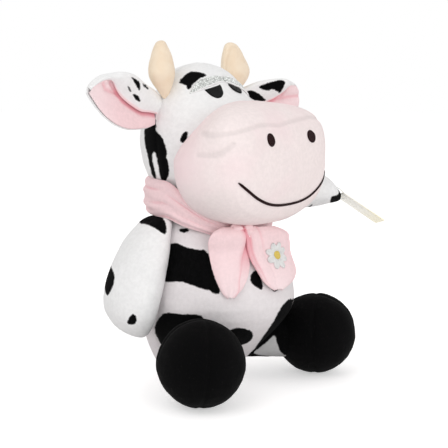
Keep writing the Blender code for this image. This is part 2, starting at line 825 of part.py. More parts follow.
# Legs and feet
def foot_form(name, pivot, place, grow, look=None):
    radius = FOOT_DIAMETER / 2.0 + grow
    start = math.acos((radius - FLOOR_FLAT) / radius)
    rings = []
    for share in shares_between(FOOT_SIDES // 2):
        angle = start + (math.pi - 2.0 * start) * share
        centre = place - Z_AXIS * (radius * math.cos(angle))
        half = radius * math.sin(angle)
        rings.append(ring_points(centre, X_AXIS, Y_AXIS, half, half, FOOT_SIDES))
    return loft(name, rings, pivot, look)


def leg_form(name, pivot, start, end, grow, look=None):
    along = (end - start).normalized()
    across = along.cross(Z_AXIS).normalized()
    deep = across.cross(along)
    half = LEG_DIAMETER / 2.0 + grow
    rings = [ring_points(at, across, deep, half, half, LEG_SIDES) for at in (start, end)]
    return loft(name, rings, pivot, look)


def make_legs(body_clear, body_clear_deep, body_clear_fill):
    """Each leg hangs from a hinge at the top of its hip seam."""
    for side, word in ((-1.0, "right"), (1.0, "left")):
        foot = Vector((side * FOOT_SPREAD / 2.0, -FOOT_FORWARD, FOOT_DIAMETER / 2.0 - FLOOR_FLAT))
        hip = Vector((side * HIP_SPREAD / 2.0, -HIP_FORWARD, LEG_UP))
        back = body_section(HIP_HINGE_UP)[0]
        angle = math.atan2(foot.x, back - foot.y)
        pivot = empty(
            f"leg_{word}_pivot", belly_place(angle, HIP_HINGE_UP, SEAM_GAP), (0.0, 0.0, angle)
        )
        bpy.context.view_layer.update()
        inverse = pivot.matrix_world.inverted()
        foot, hip = inverse @ foot, inverse @ hip
        past = (foot - hip).normalized() * SKIN_THICKNESS
        bore = leg_form(f"cut_leg_bore_{word}", pivot, hip - past, foot + past, -SKIN_THICKNESS)
        foot_clear = foot_form(f"cut_foot_clear_{word}", pivot, foot, SEAM_GAP)
        leg = leg_form(f"leg_skin_{word}", pivot, hip, foot, 0.0, WHITE_PLUSH)
        cut(leg, bore, body_clear, foot_clear)
        hollow = foot_form(f"cut_foot_hollow_{word}", pivot, foot, -SKIN_THICKNESS)
        cut(hollow, body_clear_deep)
        sole = foot_form(f"foot_skin_{word}", pivot, foot, 0.0, BLACK_PLUSH)
        cut(sole, hollow, bore, body_clear)
        grow = -(SKIN_THICKNESS + SEAM_GAP)
        filling = foot_form(f"leg_filling_{word}", pivot, foot, grow, POLYESTER_FILL)
        inner = leg_form(f"join_leg_filling_{word}", pivot, hip, foot, grow)
        boolean(filling, inner, "UNION")
        cut(filling, body_clear_fill)


# Tail
def make_tail():
    back, half_width, half_depth = body_section(TAIL_ROOT_UP, SEAM_GAP)
    side = math.radians(TAIL_SIDE_DEG)
    root = Vector((math.sin(side) * half_width, back + math.cos(side) * half_depth, TAIL_ROOT_UP))
    pivot = empty("tail_pivot", root, (math.radians(90.0 - TAIL_DROP_DEG), 0.0, -side))
    radius = TAIL_DIAMETER / 2.0
    ends = (radius, -TAIL_LENGTH)
    rings = [
        ring_points(Vector((0.0, 0.0, at)), X_AXIS, Y_AXIS, radius, radius, TAIL_SIDES)
        for at in ends
    ]
    cut(loft("tail", rings[::-1], pivot, WHITE_PLUSH), body_form("cut_tail_clear", TAIL_CLEAR))
    rings = []
    for share, wide in TUFT_SHARES:
        centre = Vector((0.0, 0.0, -TAIL_LENGTH - SEAM_GAP - share * TUFT_LENGTH))
        half = wide * TUFT_DIAMETER / 2.0
        rings.append(ring_points(centre, X_AXIS, Y_AXIS, half, half, TAIL_SIDES))
    loft("tail_tuft", rings, pivot, BLACK_PLUSH)


# Scarf
def scarf_centre(up):
    return Vector((0.0, body_section(BODY_HEIGHT)[0] - SCARF_FORWARD, up))


def scarf_row(back_share):
    _, tall, drop = row_at(SCARF_SHARES, back_share)
    middle = BODY_HEIGHT + SCARF_OVER_NECK
    return tall * SCARF_BACK_HEIGHT / 2.0, middle - drop * SCARF_DROP


def make_scarf_band(cutters):
    rings = []
    for i in range(SCARF_STEPS):
        angle = 2.0 * math.pi * i / SCARF_STEPS
        out = Vector((math.cos(angle), math.sin(angle), 0.0))
        half_height, up = scarf_row((1.0 + out.y) / 2.0)
        centre = scarf_centre(up) + out * SCARF_RADIUS
        half = SCARF_THICKNESS / 2.0
        rings.append(ring_points(centre, out, Z_AXIS, half, half_height, SCARF_SIDES, SOFT_SQUARE))
    band = loft("scarf_band", rings, look=PINK_FLEECE, closed_loop=True)
    cut(band, *cutters)


def knot_place():
    angle = math.radians(KNOT_SIDE_DEG)
    out = Vector((math.sin(angle), -math.cos(angle), 0.0))
    _, up = scarf_row((1.0 + out.y) / 2.0)
    reach = SCARF_RADIUS + (SCARF_THICKNESS + KNOT_THICKNESS) / 2.0 + SEAM_GAP
    return scarf_centre(up) + out * reach, out


def make_scarf_knot(cutters):
    centre, out = knot_place()
    across = Z_AXIS.cross(out)
    rings = []
    for share, size in KNOT_SHARES:
        at = centre + across * (share * KNOT_WIDTH / 2.0)
        rings.append(
            ring_points(
                at,
                out,
                Z_AXIS,
                size * KNOT_THICKNESS / 2.0,
                size * KNOT_HEIGHT / 2.0,
                KNOT_SIDES,
                SOFT_SQUARE,
            )
        )
    cut(loft("scarf_knot", rings, look=PINK_FLEECE), *cutters)


def make_scarf_tail(word, length, width, angles):
    """A leaf of fleece that hangs from the knot and lies on the belly."""
    centre, _ = knot_place()
    top = centre.z - KNOT_HEIGHT / 2.0 - SEAM_GAP
    start_away = SCARF_THICKNESS / 2.0 + SEAM_GAP
    outside = start_away + SCARF_TAIL_LIE + SCARF_TAIL_THICKNESS
    hinge = belly_place(math.radians(angles[0]), top, outside)
    pivot = empty(f"scarf_tail_{word}_pivot", hinge, (0.0, 0.0, math.radians(angles[0])))
    bpy.context.view_layer.update()
    inverse = pivot.matrix_world.inverted()
    angle_rows = tuple(zip((0.0, 0.5, 1.0), angles))
    bm = bmesh.new()
    grids = []
    for depth in (0.0, SCARF_TAIL_THICKNESS):
        grid = []
        for share, wide in SCARF_TAIL_SHARES:
            up = top - share * length
            middle = row_at(angle_rows, share)[1]
            free_share = max(0.0, 1.0 - share / SCARF_TAIL_PRESS_SHARE)
            lift = start_away * free_share**SCARF_TAIL_PRESS_POWER
            half_angle = wide * width / BODY_WIDTH
            row = []
            for at in shares_between(SHEET_COLUMNS - 1):
                angle = math.radians(middle) + half_angle * (2.0 * at - 1.0)
                place = belly_place(angle, up, SCARF_TAIL_LIE + lift + depth)
                row.append(bm.verts.new(inverse @ place))
            grid.append(row)
        grids.append(grid)
    close_sheet(bm, *grids)
    return mesh_object(f"scarf_tail_{word}", bm, pivot, PINK_FLEECE), pivot


def make_daisy(tail, pivot, angle_deg, up):
    """A sewn flower of eight petals round a small disc."""
    bpy.context.view_layer.update()
    tree = surface_of(tail)
    middle = belly_place(math.radians(angle_deg), up, SCARF_TAIL_THICKNESS)
    frame = Matrix.Translation(Vector((middle.x, 0.0, middle.z)))
    away = BODY_DEPTH + BELLY_FORWARD
    inverse = pivot.matrix_world.inverted() @ frame
    bm = bmesh.new()
    inner = DAISY_CENTRE_DIAMETER / 2.0 + SEAM_GAP
    low, high = [], []
    for i in range(DAISY_STEPS):
        angle = 2.0 * math.pi * (i + 0.5) / DAISY_STEPS
        full_share = abs(math.sin(angle * DAISY_PETALS / 2.0)) ** DAISY_PETAL_POWER
        reach_share = DAISY_NOTCH_SHARE + (1.0 - DAISY_NOTCH_SHARE) * full_share
        outer = reach_share * DAISY_DIAMETER / 2.0
        low.append([])
        high.append([])
        for share in shares_between(RING_COLUMNS - 1):
            reach = inner + (outer - inner) * share
            u, v = math.cos(angle) * reach, math.sin(angle) * reach
            base, crown = laid(tree, frame, u, v, away, DAISY_RAISE)
            low[-1].append(bm.verts.new(inverse @ base))
            high[-1].append(bm.verts.new(inverse @ crown))
    for i in range(DAISY_STEPS):
        k = (i + 1) % DAISY_STEPS
        for j in range(RING_COLUMNS - 1):
            bm.faces.new((low[i][j], low[k][j], low[k][j + 1], low[i][j + 1]))
            bm.faces.new((high[i][j], high[i][j + 1], high[k][j + 1], high[k][j]))
        bm.faces.new((low[i][0], high[i][0], high[k][0], low[k][0]))
        bm.faces.new((low[i][-1], low[k][-1], high[k][-1], high[i][-1]))
    mesh_object("daisy_petals", bm, pivot, WHITE_PLUSH)
    bm = bmesh.new()
    half = DAISY_CENTRE_DIAMETER / 2.0
    rows = oval_rows(0.0, 0.0, half, half)
    grid = [[laid(tree, frame, u, v, away, DAISY_CENTRE_RAISE) for u, v in row] for row in rows]
    low = [[bm.verts.new(inverse @ pair[0]) for pair in row] for row in grid]
    high = [[bm.verts.new(inverse @ pair[1]) for pair in row] for row in grid]
    close_sheet(bm, low, high)
    mesh_object("daisy_centre", bm, pivot, GOLD_THREAD)


# Hang tag
def make_tag(arm_pivot_left):
    bpy.context.view_layer.update()
    local = Vector((ARM_THICKNESS * TAG_SEAT_SHARES[0], 0.0, -ARM_LENGTH * TAG_SEAT_SHARES[1]))
    seat = arm_pivot_left.matrix_world @ local
    heading, drop = math.radians(TAG_HEADING_DEG), math.radians(TAG_DROP_DEG)
    turn = Matrix.Rotation(heading, 4, "Z") @ Matrix.Rotation(drop, 4, "Y")
    turn = turn @ Matrix.Rotation(math.radians(TAG_ROLL_DEG), 4, "X")
    along = turn.to_3x3() @ X_AXIS
    hole = seat + along * (LOOP_LENGTH - LOOP_SINK - LOOP_SLACK)
    pivot = empty("tag_pivot", hole, turn.to_euler())
    bm = bmesh.new()
    near, far = TAG_CORNER - TAG_HOLE_INSET, TAG_LENGTH - TAG_HOLE_INSET - TAG_CORNER
    half = TAG_WIDTH / 2.0 - TAG_CORNER
    corners = ((far, half), (near, half), (near, -half), (far, -half))
    outline = []
    for quarter, (x, y) in enumerate(corners):
        for step in TAG_CORNER_ANGLES:
            angle = math.radians(step) + quarter * math.pi / 2.0
            outline.append((x + TAG_CORNER * math.cos(angle), y + TAG_CORNER * math.sin(angle)))
    low = [bm.verts.new((x, y, -TAG_THICKNESS / 2.0)) for x, y in outline]
    high = [bm.verts.new((x, y, TAG_THICKNESS / 2.0)) for x, y in outline]
    bm.faces.new(low[::-1])
    bm.faces.new(high)
    for i in range(len(low)):
        k = (i + 1) % len(low)
        bm.faces.new((low[i], low[k], high[k], high[i]))
    tag = mesh_object("hang_tag", bm, pivot, CREAM_CARD)
    half = TAG_HOLE / 2.0
    rings = [
        ring_points(Vector((0.0, 0.0, at)), X_AXIS, Y_AXIS, half, half, HOLE_SIDES)
        for at in (-TAG_THICKNESS, TAG_THICKNESS)
    ]
    cut(tag, loft("cut_tag_hole", rings, pivot))
    centre = Vector((LOOP_THROUGH - LOOP_LENGTH / 2.0, 0.0, 0.0))
    rings = []
    for i in range(LOOP_STEPS):
        angle = 2.0 * math.pi * i / LOOP_STEPS
        at = centre + X_AXIS * (LOOP_LENGTH / 2.0 * math.cos(angle))
        at += Z_AXIS * (LOOP_WIDTH / 2.0 * math.sin(angle))
        ahead = X_AXIS * (-LOOP_LENGTH * math.sin(angle)) + Z_AXIS * (LOOP_WIDTH * math.cos(angle))
        out = ahead.normalized().cross(Y_AXIS)
        rings.append(ring_points(at, out, Y_AXIS, LOOP_WIRE / 2.0, LOOP_WIRE / 2.0, LOOP_SIDES))
    loop = loft("tag_loop", rings, pivot, CLEAR_LOOP, closed_loop=True)
    cut(loop, arm_form("cut_hand_clear", arm_pivot_left, 1.0, SEAM_GAP))


def make_all():
    clear_scene()
    make_body()
    head_pivot = empty(
        "head_pivot",
        (0.0, body_section(BODY_HEIGHT)[0], BODY_HEIGHT + SEAM_GAP),
        (0.0, 0.0, math.radians(HEAD_TURN_DEG)),
    )
    make_head(head_pivot)
    make_face(head_pivot)
    head_clear = head_form("cut_head_clear", head_pivot, SEAM_GAP)
    make_horns(head_pivot, head_clear)
    make_ears(head_pivot, head_clear)
    deep, fill = SEAM_GAP + SKIN_THICKNESS, 2.0 * SEAM_GAP + SKIN_THICKNESS
    body_clear = body_form("cut_body_clear", SEAM_GAP)
    body_clear_deep = body_form("cut_body_clear_deep", deep)
    body_clear_fill = body_form("cut_body_clear_fill", fill)
    muzzles_clear = turned_muzzles(head_pivot, HEAD_TURNED_CLEAR)
    muzzles_deep = turned_muzzles(head_pivot, HEAD_TURNED_CLEAR + SKIN_THICKNESS)
    muzzles_fill = turned_muzzles(head_pivot, HEAD_TURNED_CLEAR + SKIN_THICKNESS + SEAM_GAP)
    arm_pivots = make_arms(
        body_clear,
        body_clear_deep,
        body_clear_fill,
        muzzles_clear + lowered_bodies(ARM_RAISED_CLEAR),
        muzzles_deep + lowered_bodies(ARM_RAISED_CLEAR + SKIN_THICKNESS),
        muzzles_fill + lowered_bodies(ARM_RAISED_CLEAR + SKIN_THICKNESS + SEAM_GAP),
    )
    make_legs(body_clear, body_clear_deep, body_clear_fill)
    make_tail()
    head_turned = head_form("cut_head_turned", head_pivot, HEAD_TURNED_CLEAR)
    band_cutters = [body_clear, head_turned, *muzzles_clear]
    raised_arms = [(-1.0, "right", ARM_RAISED_SWING_DEG, ARM_RIGHT_HEADING_DEG)]
    for lowered in (0.0, *ARM_LEFT_LOWERED_DEG):
        swing = ARM_LEFT_SWING_DEG - lowered
        raised_arms.append((1.0, "left", swing, ARM_LEFT_HEADING_DEG))
    for side, word, swing, heading in raised_arms:
        raised = arm_pivot(f"arm_{word}_raised_pivot", side, swing, heading)
        band_cutters.append(arm_form(f"cut_arm_raised_{word}", raised, side, ARM_RAISED_CLEAR))
    make_scarf_band(band_cutters)
    make_scarf_knot(muzzles_clear)
    make_scarf_tail(
        "right", SCARF_TAIL_RIGHT_LENGTH, SCARF_TAIL_RIGHT_WIDTH, SCARF_TAIL_RIGHT_ANGLES
    )
    tail, pivot = make_scarf_tail(
        "left", SCARF_TAIL_LEFT_LENGTH, SCARF_TAIL_LEFT_WIDTH, SCARF_TAIL_LEFT_ANGLES
    )
    top = knot_place()[0].z - KNOT_HEIGHT / 2.0
    up = top - SCARF_TAIL_LEFT_LENGTH * DAISY_DROP_SHARE
    make_daisy(tail, pivot, SCARF_TAIL_LEFT_ANGLES[1], up)
    make_tag(arm_pivots["left"])


make_all()
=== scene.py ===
"""Sitting plush cow with a scarf: the sewn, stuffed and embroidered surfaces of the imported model.

Metres, +Z up. The cow faces -Y and its right side is -X. Each form is shaped from the
sections of the solid that it stands for, remeshed, filled by a cloth simulation, and
marked with its seams and its printed spots.
"""

import json
import math

import bmesh
import bpy
import numpy as np
from mathutils import Euler, Matrix, Vector
from mathutils.bvhtree import BVHTree
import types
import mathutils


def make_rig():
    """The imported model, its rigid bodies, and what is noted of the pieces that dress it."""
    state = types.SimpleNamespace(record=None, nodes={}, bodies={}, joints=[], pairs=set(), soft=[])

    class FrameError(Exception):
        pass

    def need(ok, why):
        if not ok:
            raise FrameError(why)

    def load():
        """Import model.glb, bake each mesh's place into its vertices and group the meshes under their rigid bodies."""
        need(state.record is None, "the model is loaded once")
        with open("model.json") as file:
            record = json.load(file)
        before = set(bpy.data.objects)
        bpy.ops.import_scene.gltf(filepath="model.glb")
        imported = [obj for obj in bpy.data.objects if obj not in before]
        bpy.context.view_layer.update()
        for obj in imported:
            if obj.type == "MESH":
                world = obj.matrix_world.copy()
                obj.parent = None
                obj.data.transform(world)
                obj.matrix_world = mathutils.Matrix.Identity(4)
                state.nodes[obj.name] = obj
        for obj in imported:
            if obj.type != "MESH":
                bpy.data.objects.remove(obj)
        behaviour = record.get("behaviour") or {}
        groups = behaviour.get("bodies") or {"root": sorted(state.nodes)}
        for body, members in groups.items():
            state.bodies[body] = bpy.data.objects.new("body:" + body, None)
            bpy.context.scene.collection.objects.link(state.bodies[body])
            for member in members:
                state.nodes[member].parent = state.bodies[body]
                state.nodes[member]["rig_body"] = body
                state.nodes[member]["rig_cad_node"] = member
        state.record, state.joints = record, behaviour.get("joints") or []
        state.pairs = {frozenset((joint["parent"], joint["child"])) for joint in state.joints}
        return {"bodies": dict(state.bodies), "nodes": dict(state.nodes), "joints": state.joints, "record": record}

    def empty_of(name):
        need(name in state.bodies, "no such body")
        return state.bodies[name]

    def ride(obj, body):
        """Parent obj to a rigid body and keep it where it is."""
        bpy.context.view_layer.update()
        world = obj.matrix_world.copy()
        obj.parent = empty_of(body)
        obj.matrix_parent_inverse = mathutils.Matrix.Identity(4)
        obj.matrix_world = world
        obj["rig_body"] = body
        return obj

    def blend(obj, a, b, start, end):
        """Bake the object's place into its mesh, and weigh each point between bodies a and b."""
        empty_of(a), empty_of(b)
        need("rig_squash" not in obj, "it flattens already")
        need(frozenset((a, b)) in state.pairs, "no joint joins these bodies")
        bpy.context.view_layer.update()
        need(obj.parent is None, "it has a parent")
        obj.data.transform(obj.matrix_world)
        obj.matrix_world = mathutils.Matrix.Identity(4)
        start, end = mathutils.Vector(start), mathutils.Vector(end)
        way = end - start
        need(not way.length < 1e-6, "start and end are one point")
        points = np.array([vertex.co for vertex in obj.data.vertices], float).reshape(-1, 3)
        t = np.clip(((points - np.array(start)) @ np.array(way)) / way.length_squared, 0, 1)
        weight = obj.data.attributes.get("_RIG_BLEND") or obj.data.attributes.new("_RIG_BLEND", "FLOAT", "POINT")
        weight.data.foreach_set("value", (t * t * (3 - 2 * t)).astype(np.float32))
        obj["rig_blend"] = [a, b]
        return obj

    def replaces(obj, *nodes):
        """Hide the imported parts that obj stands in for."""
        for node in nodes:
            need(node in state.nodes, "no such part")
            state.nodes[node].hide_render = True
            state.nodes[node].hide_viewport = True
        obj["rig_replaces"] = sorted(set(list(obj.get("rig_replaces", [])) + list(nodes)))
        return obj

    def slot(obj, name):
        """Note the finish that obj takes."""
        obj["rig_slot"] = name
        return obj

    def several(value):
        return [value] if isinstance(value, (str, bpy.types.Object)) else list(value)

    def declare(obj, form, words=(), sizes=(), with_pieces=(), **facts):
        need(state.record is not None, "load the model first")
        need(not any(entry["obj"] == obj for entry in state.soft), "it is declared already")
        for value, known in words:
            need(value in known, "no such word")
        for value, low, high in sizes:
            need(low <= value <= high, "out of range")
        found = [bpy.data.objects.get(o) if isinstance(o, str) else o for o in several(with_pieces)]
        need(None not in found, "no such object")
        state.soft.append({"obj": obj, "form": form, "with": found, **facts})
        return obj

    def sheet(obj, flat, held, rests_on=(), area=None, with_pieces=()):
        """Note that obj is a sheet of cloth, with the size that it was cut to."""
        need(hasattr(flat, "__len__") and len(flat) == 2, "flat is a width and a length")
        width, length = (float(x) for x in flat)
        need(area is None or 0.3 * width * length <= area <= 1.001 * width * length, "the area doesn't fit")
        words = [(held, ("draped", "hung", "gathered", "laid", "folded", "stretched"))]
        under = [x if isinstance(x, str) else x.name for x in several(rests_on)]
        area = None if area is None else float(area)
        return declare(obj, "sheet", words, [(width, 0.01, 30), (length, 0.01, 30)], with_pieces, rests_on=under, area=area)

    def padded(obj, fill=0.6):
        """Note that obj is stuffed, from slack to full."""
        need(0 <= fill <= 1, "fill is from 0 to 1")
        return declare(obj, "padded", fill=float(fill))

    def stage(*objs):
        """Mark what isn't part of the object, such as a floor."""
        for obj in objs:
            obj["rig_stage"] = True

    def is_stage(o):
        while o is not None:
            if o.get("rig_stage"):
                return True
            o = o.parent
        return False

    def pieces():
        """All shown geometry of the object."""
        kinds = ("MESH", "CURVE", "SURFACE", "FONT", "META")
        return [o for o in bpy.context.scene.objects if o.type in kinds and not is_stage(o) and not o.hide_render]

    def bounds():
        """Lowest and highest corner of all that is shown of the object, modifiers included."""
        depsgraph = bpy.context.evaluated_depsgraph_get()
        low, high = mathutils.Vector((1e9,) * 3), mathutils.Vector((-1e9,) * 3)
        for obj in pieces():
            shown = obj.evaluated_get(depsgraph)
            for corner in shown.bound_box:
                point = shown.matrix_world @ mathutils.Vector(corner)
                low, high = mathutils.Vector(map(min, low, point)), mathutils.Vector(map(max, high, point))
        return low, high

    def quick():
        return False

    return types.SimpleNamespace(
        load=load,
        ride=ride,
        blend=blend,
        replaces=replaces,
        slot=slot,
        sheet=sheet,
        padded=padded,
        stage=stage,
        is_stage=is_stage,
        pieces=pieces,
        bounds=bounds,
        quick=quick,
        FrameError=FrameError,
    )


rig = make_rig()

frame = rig.load()
CAD_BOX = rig.bounds()

bl_info = {
    "name": "Plush Cow",
    "version": (1, 0, 0),
    "blender": (4, 5, 0),
    "location": "3D Viewport > Sidebar > Plush Cow",
    "description": "Sews, fills and finishes a sitting plush cow with a scarf",
    "category": "Add Mesh",
}

SIDES = ((-1.0, "right"), (1.0, "left"))
SIZE_FILE = "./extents.json"
X_AXIS, Y_AXIS, Z_AXIS = Vector((1.0, 0.0, 0.0)), Vector((0.0, 1.0, 0.0)), Vector((0.0, 0.0, 1.0))

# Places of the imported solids: metres in the body's frame or the head's, and turns in degrees
SEWN_GAP = 0.0003
SKIN_IN = 0.0004
SEAT_UP = 0.0004
HEAD_Y = -0.012
HEAD_TURN = 7.4
HEAD_LEAN_BACK = 0.0065
MUZZLE_BACK = (0.0, -0.005, 0.043)
MUZZLE_DROOP = 0.010
MUZZLE_LOW_SQUARENESS = 2.4
NOSTRIL_UP = 0.0685
NOSTRIL_LEAN = 22.0
EAR_ROOT = (0.054, 0.014, 0.094)
EAR_TURNS = {"right": (11.0, -3.5), "left": (3.0, 29.0)}
HORN_TURN = 20.0
HORN_FLATNESS = 0.76
SHOULDER_Y = -0.005
SHOULDER_DROP = 0.015
ARM_TURNS = {"right": (16.0, 4.0), "left": (88.0, -28.0)}
ARM_THICK, ARM_WIDE = 0.021, 0.037
# How far an arm's cloth starts behind its shoulder, how much longer than the arm it is, and how
# far its paw is drawn up
ARM_FIT = {"right": (-0.004, 0.006, 0.0), "left": (0.0, 0.0022, 0.005)}
FOOT_MIDDLE = (0.0877, -0.0927)
HIP = (0.024, -0.040, 0.047)
LEG_SECTION = (0.0, 0.0027, 0.0250, 0.0235)
TAIL_UP = 0.088
TAIL_TURN, TAIL_LEAN = 24.0, 18.0
TAIL_RADIUS, TUFT_RADIUS = 0.0052, 0.010
TUFT_START, TUFT_LENGTH = 0.0505, 0.0315
SCARF_RADIUS, SCARF_BACK = 0.0618, 0.0055
SCARF_THICK, SCARF_TALL = 0.00575, 0.019
SCARF_UP, SCARF_DROP = 0.007, 0.032
SCARF_SQUARENESS = 2.4
TAIL_HINGE = (Vector((-0.02, -0.095, 0.162)), Vector((-0.02, -0.095, 0.148)))
KNOT_TURN = -20.0
KNOT_OUT, KNOT_LENGTH = 0.01325, 0.026
KNOT_THICK, KNOT_TALL = 0.0073, 0.0083
TAG_NEAR_END = (0.163627, -0.070299, 0.181616)
TAG_REACH = 0.055

# How the cloth is filled and sewn
FILL_PRESSURE = 4.0
FILL_STEPS = 20
CLOTH_STIFFNESS = 0.6
SEAM_HOLD = 0.0026
SEAM_SPREAD = 0.0024
FORM_GAP = 0.0004
UNMARKED = 0.02
RAY_START = 0.2
STITCH_LIE = 0.0002
SEAM_FRONT = -0.060

# Scale, detail and roughness of the noise in the cloths
PILE_TUFTS = (1300.0, 2.0, 0.6)
PILE_CLUMPS = (260.0, 3.0, 0.55)
PILE_BRUSHED = (34.0, 2.0, 0.5)
PILE_PATCHES = (16.0, 2.0, 0.5)
FLEECE_TUFTS = (1500.0, 2.0, 0.6)
FLEECE_CLUMPS = (320.0, 3.0, 0.55)
FLEECE_DRIFT = (40.0, 2.0, 0.5)
HORN_DRIFT = (70.0, 2.0, 0.5)
LINT = (900.0, 2.0, 0.6)
CARD_FIBRES = (900.0, 3.0, 0.6)

# Camera, lights and floor
TARGET = (0.03013, -0.012, 0.15895)
CAMERA_DISTANCE, LENS, SENSOR = 1.2, 90.0, 36.0
# Name of each lamp, its place back, across and up from the target, its size and its power
LAMPS = (
    ("key", (1.3, -0.9, 1.2), 1.5, 7.0),
    ("fill", (1.5, 0.9, 0.02), 1.0, 7.6),
    ("behind", (-1.3, 0.3, 1.6), 1.2, 3.6),
)
FLOOR_SIZE = 12.0
FLOOR_GREY = (0.88, 0.87, 0.87, 1.0)
FLOOR_LIFT = 0.46
SKY = (1.0, 0.995, 0.99, 1.0)
SKY_STRENGTH = 0.71
WHITE = (1.0, 1.0, 1.0, 1.0)

# Sections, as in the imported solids. Each row: length share, then shares of the form's sizes
BODY_ROWS = (
    (0.000, 0.405, 0.00), (0.037, 0.510, 0.05), (0.090, 0.605, 0.14), (0.150, 0.695, 0.27),
    (0.214, 0.800, 0.42), (0.278, 0.885, 0.58), (0.353, 0.955, 0.80), (0.438, 1.000, 1.00),
    (0.580, 0.965, 1.04), (0.730, 0.865, 0.89), (0.860, 0.740, 0.67), (0.950, 0.610, 0.50),
    (1.000, 0.500, 0.375),
)
HEAD_ROWS = (
    (0.000, 0.58, 0.58, 0.00), (0.050, 0.69, 0.69, 0.00), (0.120, 0.79, 0.79, 0.00),
    (0.180, 0.86, 0.86, 0.00), (0.240, 0.915, 0.915, 0.00), (0.340, 0.975, 0.975, 0.00),
    (0.450, 1.00, 1.00, 0.00), (0.565, 0.99, 0.93, 0.08), (0.685, 0.93, 0.77, 0.28),
    (0.790, 0.84, 0.595, 0.62), (0.881, 0.70, 0.475, 1.00), (0.948, 0.49, 0.330, 1.00),
    (0.985, 0.27, 0.180, 1.00), (1.000, 0.10, 0.070, 1.00),
)
# The last number is the squareness of the section's upper half
MUZZLE_ROWS = (
    (0.000, 0.54, 0.66, -0.50, 1.25), (0.070, 0.70, 0.80, -0.42, 1.25), (0.165, 0.84, 0.90, -0.30, 1.30),
    (0.290, 0.957, 0.955, -0.13, 1.45), (0.435, 1.00, 0.99, 0.01, 2.00), (0.580, 1.00, 0.985, 0.10, 2.90),
    (0.728, 0.98, 0.945, 0.22, 4.20), (0.845, 0.93, 0.86, 0.30, 4.40), (0.932, 0.826, 0.71, 0.38, 4.00),
    (0.981, 0.65, 0.49, 0.44, 3.40), (1.000, 0.41, 0.25, 0.48, 3.00),
)
ARM_ROWS = (
    (0.000, 0.26, 0.10), (0.030, 0.46, 0.26), (0.090, 0.62, 0.47), (0.180, 0.74, 0.66), (0.300, 0.88, 0.82),
    (0.450, 0.97, 0.94), (0.610, 0.98, 1.00), (0.750, 0.97, 1.00), (0.865, 0.87, 0.88), (0.945, 0.62, 0.64),
    (0.990, 0.32, 0.34), (1.000, 0.12, 0.12),
)
# Height in the head's frame, place out from its middle, and half size
HORN_ROWS = (
    (0.1060, 0.0560, 0.0028), (0.1125, 0.0585, 0.0062), (0.1180, 0.0605, 0.0100), (0.1240, 0.0620, 0.0138),
    (0.1290, 0.0628, 0.0160), (0.1340, 0.0630, 0.0168), (0.1410, 0.0624, 0.0155), (0.1480, 0.0612, 0.0133),
    (0.1550, 0.0606, 0.0108), (0.1600, 0.0596, 0.0082), (0.1632, 0.0592, 0.0052), (0.1643, 0.0590, 0.0022),
)
HORN_HEIGHTS = (0.1064, 0.1642)
# Share of the ear's length, then its low edge, its top edge and the edge of its fold, as shares
# of half its width
EAR_ROWS = {
    "right": (
        (0.00, -0.45, 0.40, -0.12), (0.10, -0.60, 0.48, -0.14), (0.20, -0.74, 0.60, -0.15),
        (0.34, -0.85, 0.69, -0.19), (0.47, -0.93, 0.80, -0.09), (0.58, -0.975, 0.88, 0.03),
        (0.68, -0.96, 0.91, 0.17), (0.77, -0.90, 0.89, 0.36), (0.86, -0.76, 0.83, 0.58),
        (0.95, -0.54, 0.74, 0.62), (1.03, -0.28, 0.62, 0.50), (1.09, -0.10, 0.42, 0.32),
        (1.13, 0.03, 0.20, 0.12),
    ),
    "left": (
        (0.00, -0.50, 0.40, -0.45), (0.15, -0.66, 0.56, -0.40), (0.30, -0.82, 0.73, -0.25),
        (0.45, -0.94, 0.89, 0.00), (0.57, -0.98, 0.935, 0.14), (0.68, -0.96, 0.95, 0.28),
        (0.78, -0.90, 0.93, 0.48), (0.86, -0.78, 0.87, 0.74), (0.93, -0.60, 0.78, 0.74),
        (0.99, -0.36, 0.64, 0.60), (1.03, -0.10, 0.42, 0.38),
    ),
}
# Creases of the linings in millimetres out along the ear and up from its middle
EAR_CREASES = {
    "right": (((87, 12), (83, 7.5), (75, 6.8), (66, 6.5)), ((78, 15), (70, 9))),
    "left": (((66, 6.5), (78, 7.5), (93, 8)), ((72, 18), (70, 7))),
}
# Height, then the angles of the two edges round the chest and the distance out from it
NEAR_TAIL_ROWS = (
    (0.1680, -35.5, -25.5, 0.0185), (0.1670, -39.0, -22.5, 0.0208), (0.1652, -42.6, -21.3, 0.0215),
    (0.1612, -46.4, -20.8, 0.0205), (0.1556, -48.8, -21.1, 0.0160), (0.1476, -50.0, -22.6, 0.0090),
    (0.1381, -50.4, -26.0, 0.0058), (0.1267, -49.2, -28.4, 0.0040), (0.1174, -47.1, -31.0, 0.0032),
    (0.1091, -44.4, -32.6, 0.0030), (0.1055, -42.6, -34.6, 0.0028), (0.1030, -40.2, -37.2, 0.0028),
)
FOLD_TAIL_ROWS = (
    (0.1560, -34.0, -18.5, 0.0110), (0.1470, -38.0, -18.0, 0.0055), (0.1370, -42.0, -18.5, 0.0026),
    (0.1270, -42.0, -21.0, 0.0016), (0.1170, -41.0, -25.5, 0.0012), (0.1090, -38.0, -31.0, 0.0012),
    (0.1060, -36.0, -34.0, 0.0012),
)
# Height, then the angle of the right edge, the distance out there, and the width to the left
FAR_TAIL_ROWS = (
    (0.1688, -17.5, 0.0212, 0.040), (0.1662, -19.8, 0.0220, 0.052), (0.1565, -20.3, 0.0165, 0.058),
    (0.1445, -19.7, 0.0085, 0.057), (0.1350, -18.4, 0.0062, 0.056), (0.1270, -16.2, 0.0055, 0.053),
    (0.1220, -14.8, 0.0050, 0.049), (0.1135, -11.6, 0.0046, 0.035), (0.1095, -8.0, 0.0046, 0.021),
    (0.1070, -4.0, 0.0046, 0.008),
)
